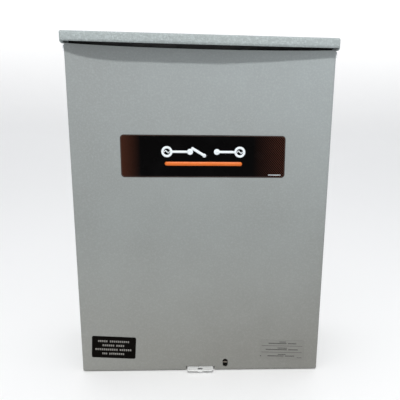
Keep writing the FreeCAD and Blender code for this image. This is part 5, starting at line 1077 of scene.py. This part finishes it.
caution_piece, caution_middle = film("caution_film", "caution_label", CAUTION_SIZE, 0.002,
                                     clear_film("clear_matt_film"), CAUTION_TILT)
dark_ink = ink("dark_screen_ink", (0.03, 0.028, 0.026))
words("caution_rows", [(0.0128, 0.0015, [(-0.0052, 0.0052)]),
                       (0.0102, 0.0017, [(-0.0222, 0.0062), (0.0085, 0.0218)]),
                       (0.0022, 0.0015, [(-0.0075, 0.0075)]),
                       (-0.0005, 0.0017, [(-0.0260, 0.0075), (0.0098, 0.0250)]),
                       (-0.0090, 0.0015, [(-0.0062, 0.0062)]),
                       (-0.0117, 0.0017, [(-0.0225, 0.0030), (0.0055, 0.0200)]),
                       (-0.0143, 0.0009, [(0.0245, 0.0318)])],
      0.0014, dark_ink, caution_middle, CAUTION_TILT)
rules = bmesh.new()
for level in (0.0060, -0.0052):
    stroke(rules, [(-0.0325, level), (0.0315, level)], 0.0005)
circle_stroke(rules, (-0.0335, -0.0120), 0.0004, 0.0008, 16)
print_on("caution_rules", rules, caution_middle, CAUTION_TILT, dark_ink)

# ---------------------------------------------------------------- Wiring diagram
# A white paper film stuck inside the cover, printed with a generic one-line diagram: two sources, the two-way
# switch between them, and the load below.

DIAGRAM_SIZE = (0.200, 0.150)
DIAGRAM_LINE = 0.0008


def paper_film(name):
    """White coated paper with a trace of yellowing."""
    material, tree, shader, place = new_material(name, (0.74, 0.74, 0.70), 0.5)
    cloud = noise(tree, place, 18, 4)
    colour_from(tree, shader, mix(tree, between(tree, cloud, 0.4, 0.8), (0.76, 0.76, 0.73), (0.70, 0.68, 0.60)))
    roughness_from(tree, shader, between(tree, cloud, 0.3, 0.7, 0.42, 0.6))
    relief(tree, shader, noise(tree, place, 800, 2), 0.00002)
    return material


diagram_piece, diagram_middle = film("diagram_film", "diagram_label", DIAGRAM_SIZE, 0.002,
                                     paper_film("diagram_paper"), 0.0, 1)
diagram = bmesh.new()
for left, low, right, high in ((-0.095, -0.070, 0.095, 0.070), (-0.024, -0.014, 0.024, 0.026),
                               (0.036, -0.060, 0.088, -0.020)):
    stroke(diagram, [(left, low), (right, low), (right, high), (left, high), (left, low)], DIAGRAM_LINE)
for sign in (-1, 1):
    circle_stroke(diagram, (sign * 0.070, 0.046), 0.009, DIAGRAM_LINE)
    stroke(diagram, [(sign * 0.061, 0.046), (sign * 0.014, 0.046), (sign * 0.014, 0.014)], DIAGRAM_LINE)
    circle_stroke(diagram, (sign * 0.014, 0.012), 0.0016, DIAGRAM_LINE)
stroke(diagram, [(0, 0.0), (-0.012, 0.011)], DIAGRAM_LINE * 1.5)
stroke(diagram, [(0, 0.0), (0, -0.040)], DIAGRAM_LINE)
for level in (-0.040, -0.045, -0.050):
    stroke(diagram, [(level * 0.3 - 0.022, level), (-level * 0.3 + 0.022 - 0.012, level)], DIAGRAM_LINE)
for row in range(6):
    stroke(diagram, [(-0.086, -0.022 - row * 0.007), (-0.040 - 0.004 * (row % 3), -0.022 - row * 0.007)],
           DIAGRAM_LINE * 0.6)
for row in range(1, 5):
    stroke(diagram, [(0.036, -0.020 - row * 0.008), (0.088, -0.020 - row * 0.008)], DIAGRAM_LINE * 0.6)
print_on("diagram_lines", diagram, diagram_middle, 0, dark_ink, 1)

# ---------------------------------------------------------------- Hasp and seal bracket
# The padlock tongue is a bright zinc plate riveted under the box's sill. The thin seal bar shows in its slot.

dress(bright_zinc, "bracket_rivets", "hinge_pins")
dress(metal("dull_zinc", (0.26, 0.23, 0.20), 0.5, (0.1, 1, 1), 0.8), "seal_bracket")
dress(metal("matt_zinc", (0.90, 0.91, 0.90), 0.45, (0.1, 1, 1), 0.3), "hasp_bracket")

# ---------------------------------------------------------------- Studio
# A pale floor that curves up into a backdrop, painted to glow more strongly towards the top, one small lamp above
# and in front, and an even white room.

FLOOR_FRONT = -3.0
FLOOR_BACK = 2.4
SWEEP = 0.8
FLOOR_HALF = 4.0

sweep = bmesh.new()
outline = [(FLOOR_FRONT, 0)] + [
    (FLOOR_BACK + SWEEP * math.sin(a), SWEEP - SWEEP * math.cos(a))
    for a in [math.radians(6 * k) for k in range(16)]] + [(FLOOR_BACK + SWEEP, 4.0)]
sides = [[sweep.verts.new((x, y, z)) for y, z in outline] for x in (-FLOOR_HALF, FLOOR_HALF)]
for k in range(len(outline) - 1):
    sweep.faces.new((sides[0][k], sides[1][k], sides[1][k + 1], sides[0][k + 1]))
paper, tree, shader, place = new_material("glowing_backdrop_paper", (0.91, 0.91, 0.91), 0.9)
shader.inputs["Specular IOR Level"].default_value = 0.1
# Painted light: the backdrop glows, from nothing at the floor up to full strength 0.7 m up.
rise = node(tree, "SeparateXYZ", Vector=place).outputs["Z"]
shader.inputs["Emission Color"].default_value = (1, 1, 1, 1)
tree.links.new(between(tree, rise, 0, 0.7, 0, 0.42), shader.inputs["Emission Strength"])
backdrop = piece_from(sweep, "backdrop", paper)

world = bpy.data.worlds.new("white_room")
bpy.context.scene.world = world
world.use_nodes = True
sky = world.node_tree
up = node(sky, "SeparateXYZ", Vector=sky.nodes.new("ShaderNodeTexCoord").outputs["Generated"]).outputs["Z"]
room = mix(sky, between(sky, up, -0.1, 0.8), (0.86, 0.84, 0.80), (1.12, 1.15, 1.2))
sky.links.new(room, sky.nodes["Background"].inputs["Color"])
sky.nodes["Background"].inputs["Strength"].default_value = 0.66


def lamp(name, at, aim, size, power, colour):
    light = bpy.data.lights.new(name, "AREA")
    light.shape = "DISK"
    light.size = size
    light.energy = power
    light.color = colour
    made = bpy.data.objects.new(name, light)
    made.location = at
    made.rotation_euler = (Vector(aim) - Vector(at)).to_track_quat("-Z", "Y").to_euler()
    bpy.context.scene.collection.objects.link(made)
    return made


lamp("key", (0.05, -1.12, 1.62), (0, -0.08, 0.3), 0.11, 17, (1.0, 0.99, 0.97))

camera = bpy.data.cameras.new("camera")
camera.lens = 48.13
camera.sensor_width = 36
camera.shift_x = -0.1244
camera.shift_y = -0.0038
camera_object = bpy.data.objects.new("camera", camera)
bpy.context.scene.collection.objects.link(camera_object)
bpy.context.scene.camera = camera_object
pitch, yaw, roll = (math.radians(a) for a in (14.797, 3.826, 1.517))
ahead = Vector((math.sin(yaw) * math.cos(pitch), math.cos(yaw) * math.cos(pitch), -math.sin(pitch)))
right = Vector((math.cos(yaw), -math.sin(yaw), 0))
above = right.cross(ahead)
tilted_right = math.cos(roll) * right + math.sin(roll) * above
tilted_up = -math.sin(roll) * right + math.cos(roll) * above
turn = Matrix((tilted_right, tilted_up, -ahead)).transposed().to_4x4()
camera_object.matrix_world = Matrix.Translation((0.0194, -0.8276, 0.4802)) @ turn

bpy.context.scene.view_settings.view_transform = "Standard"
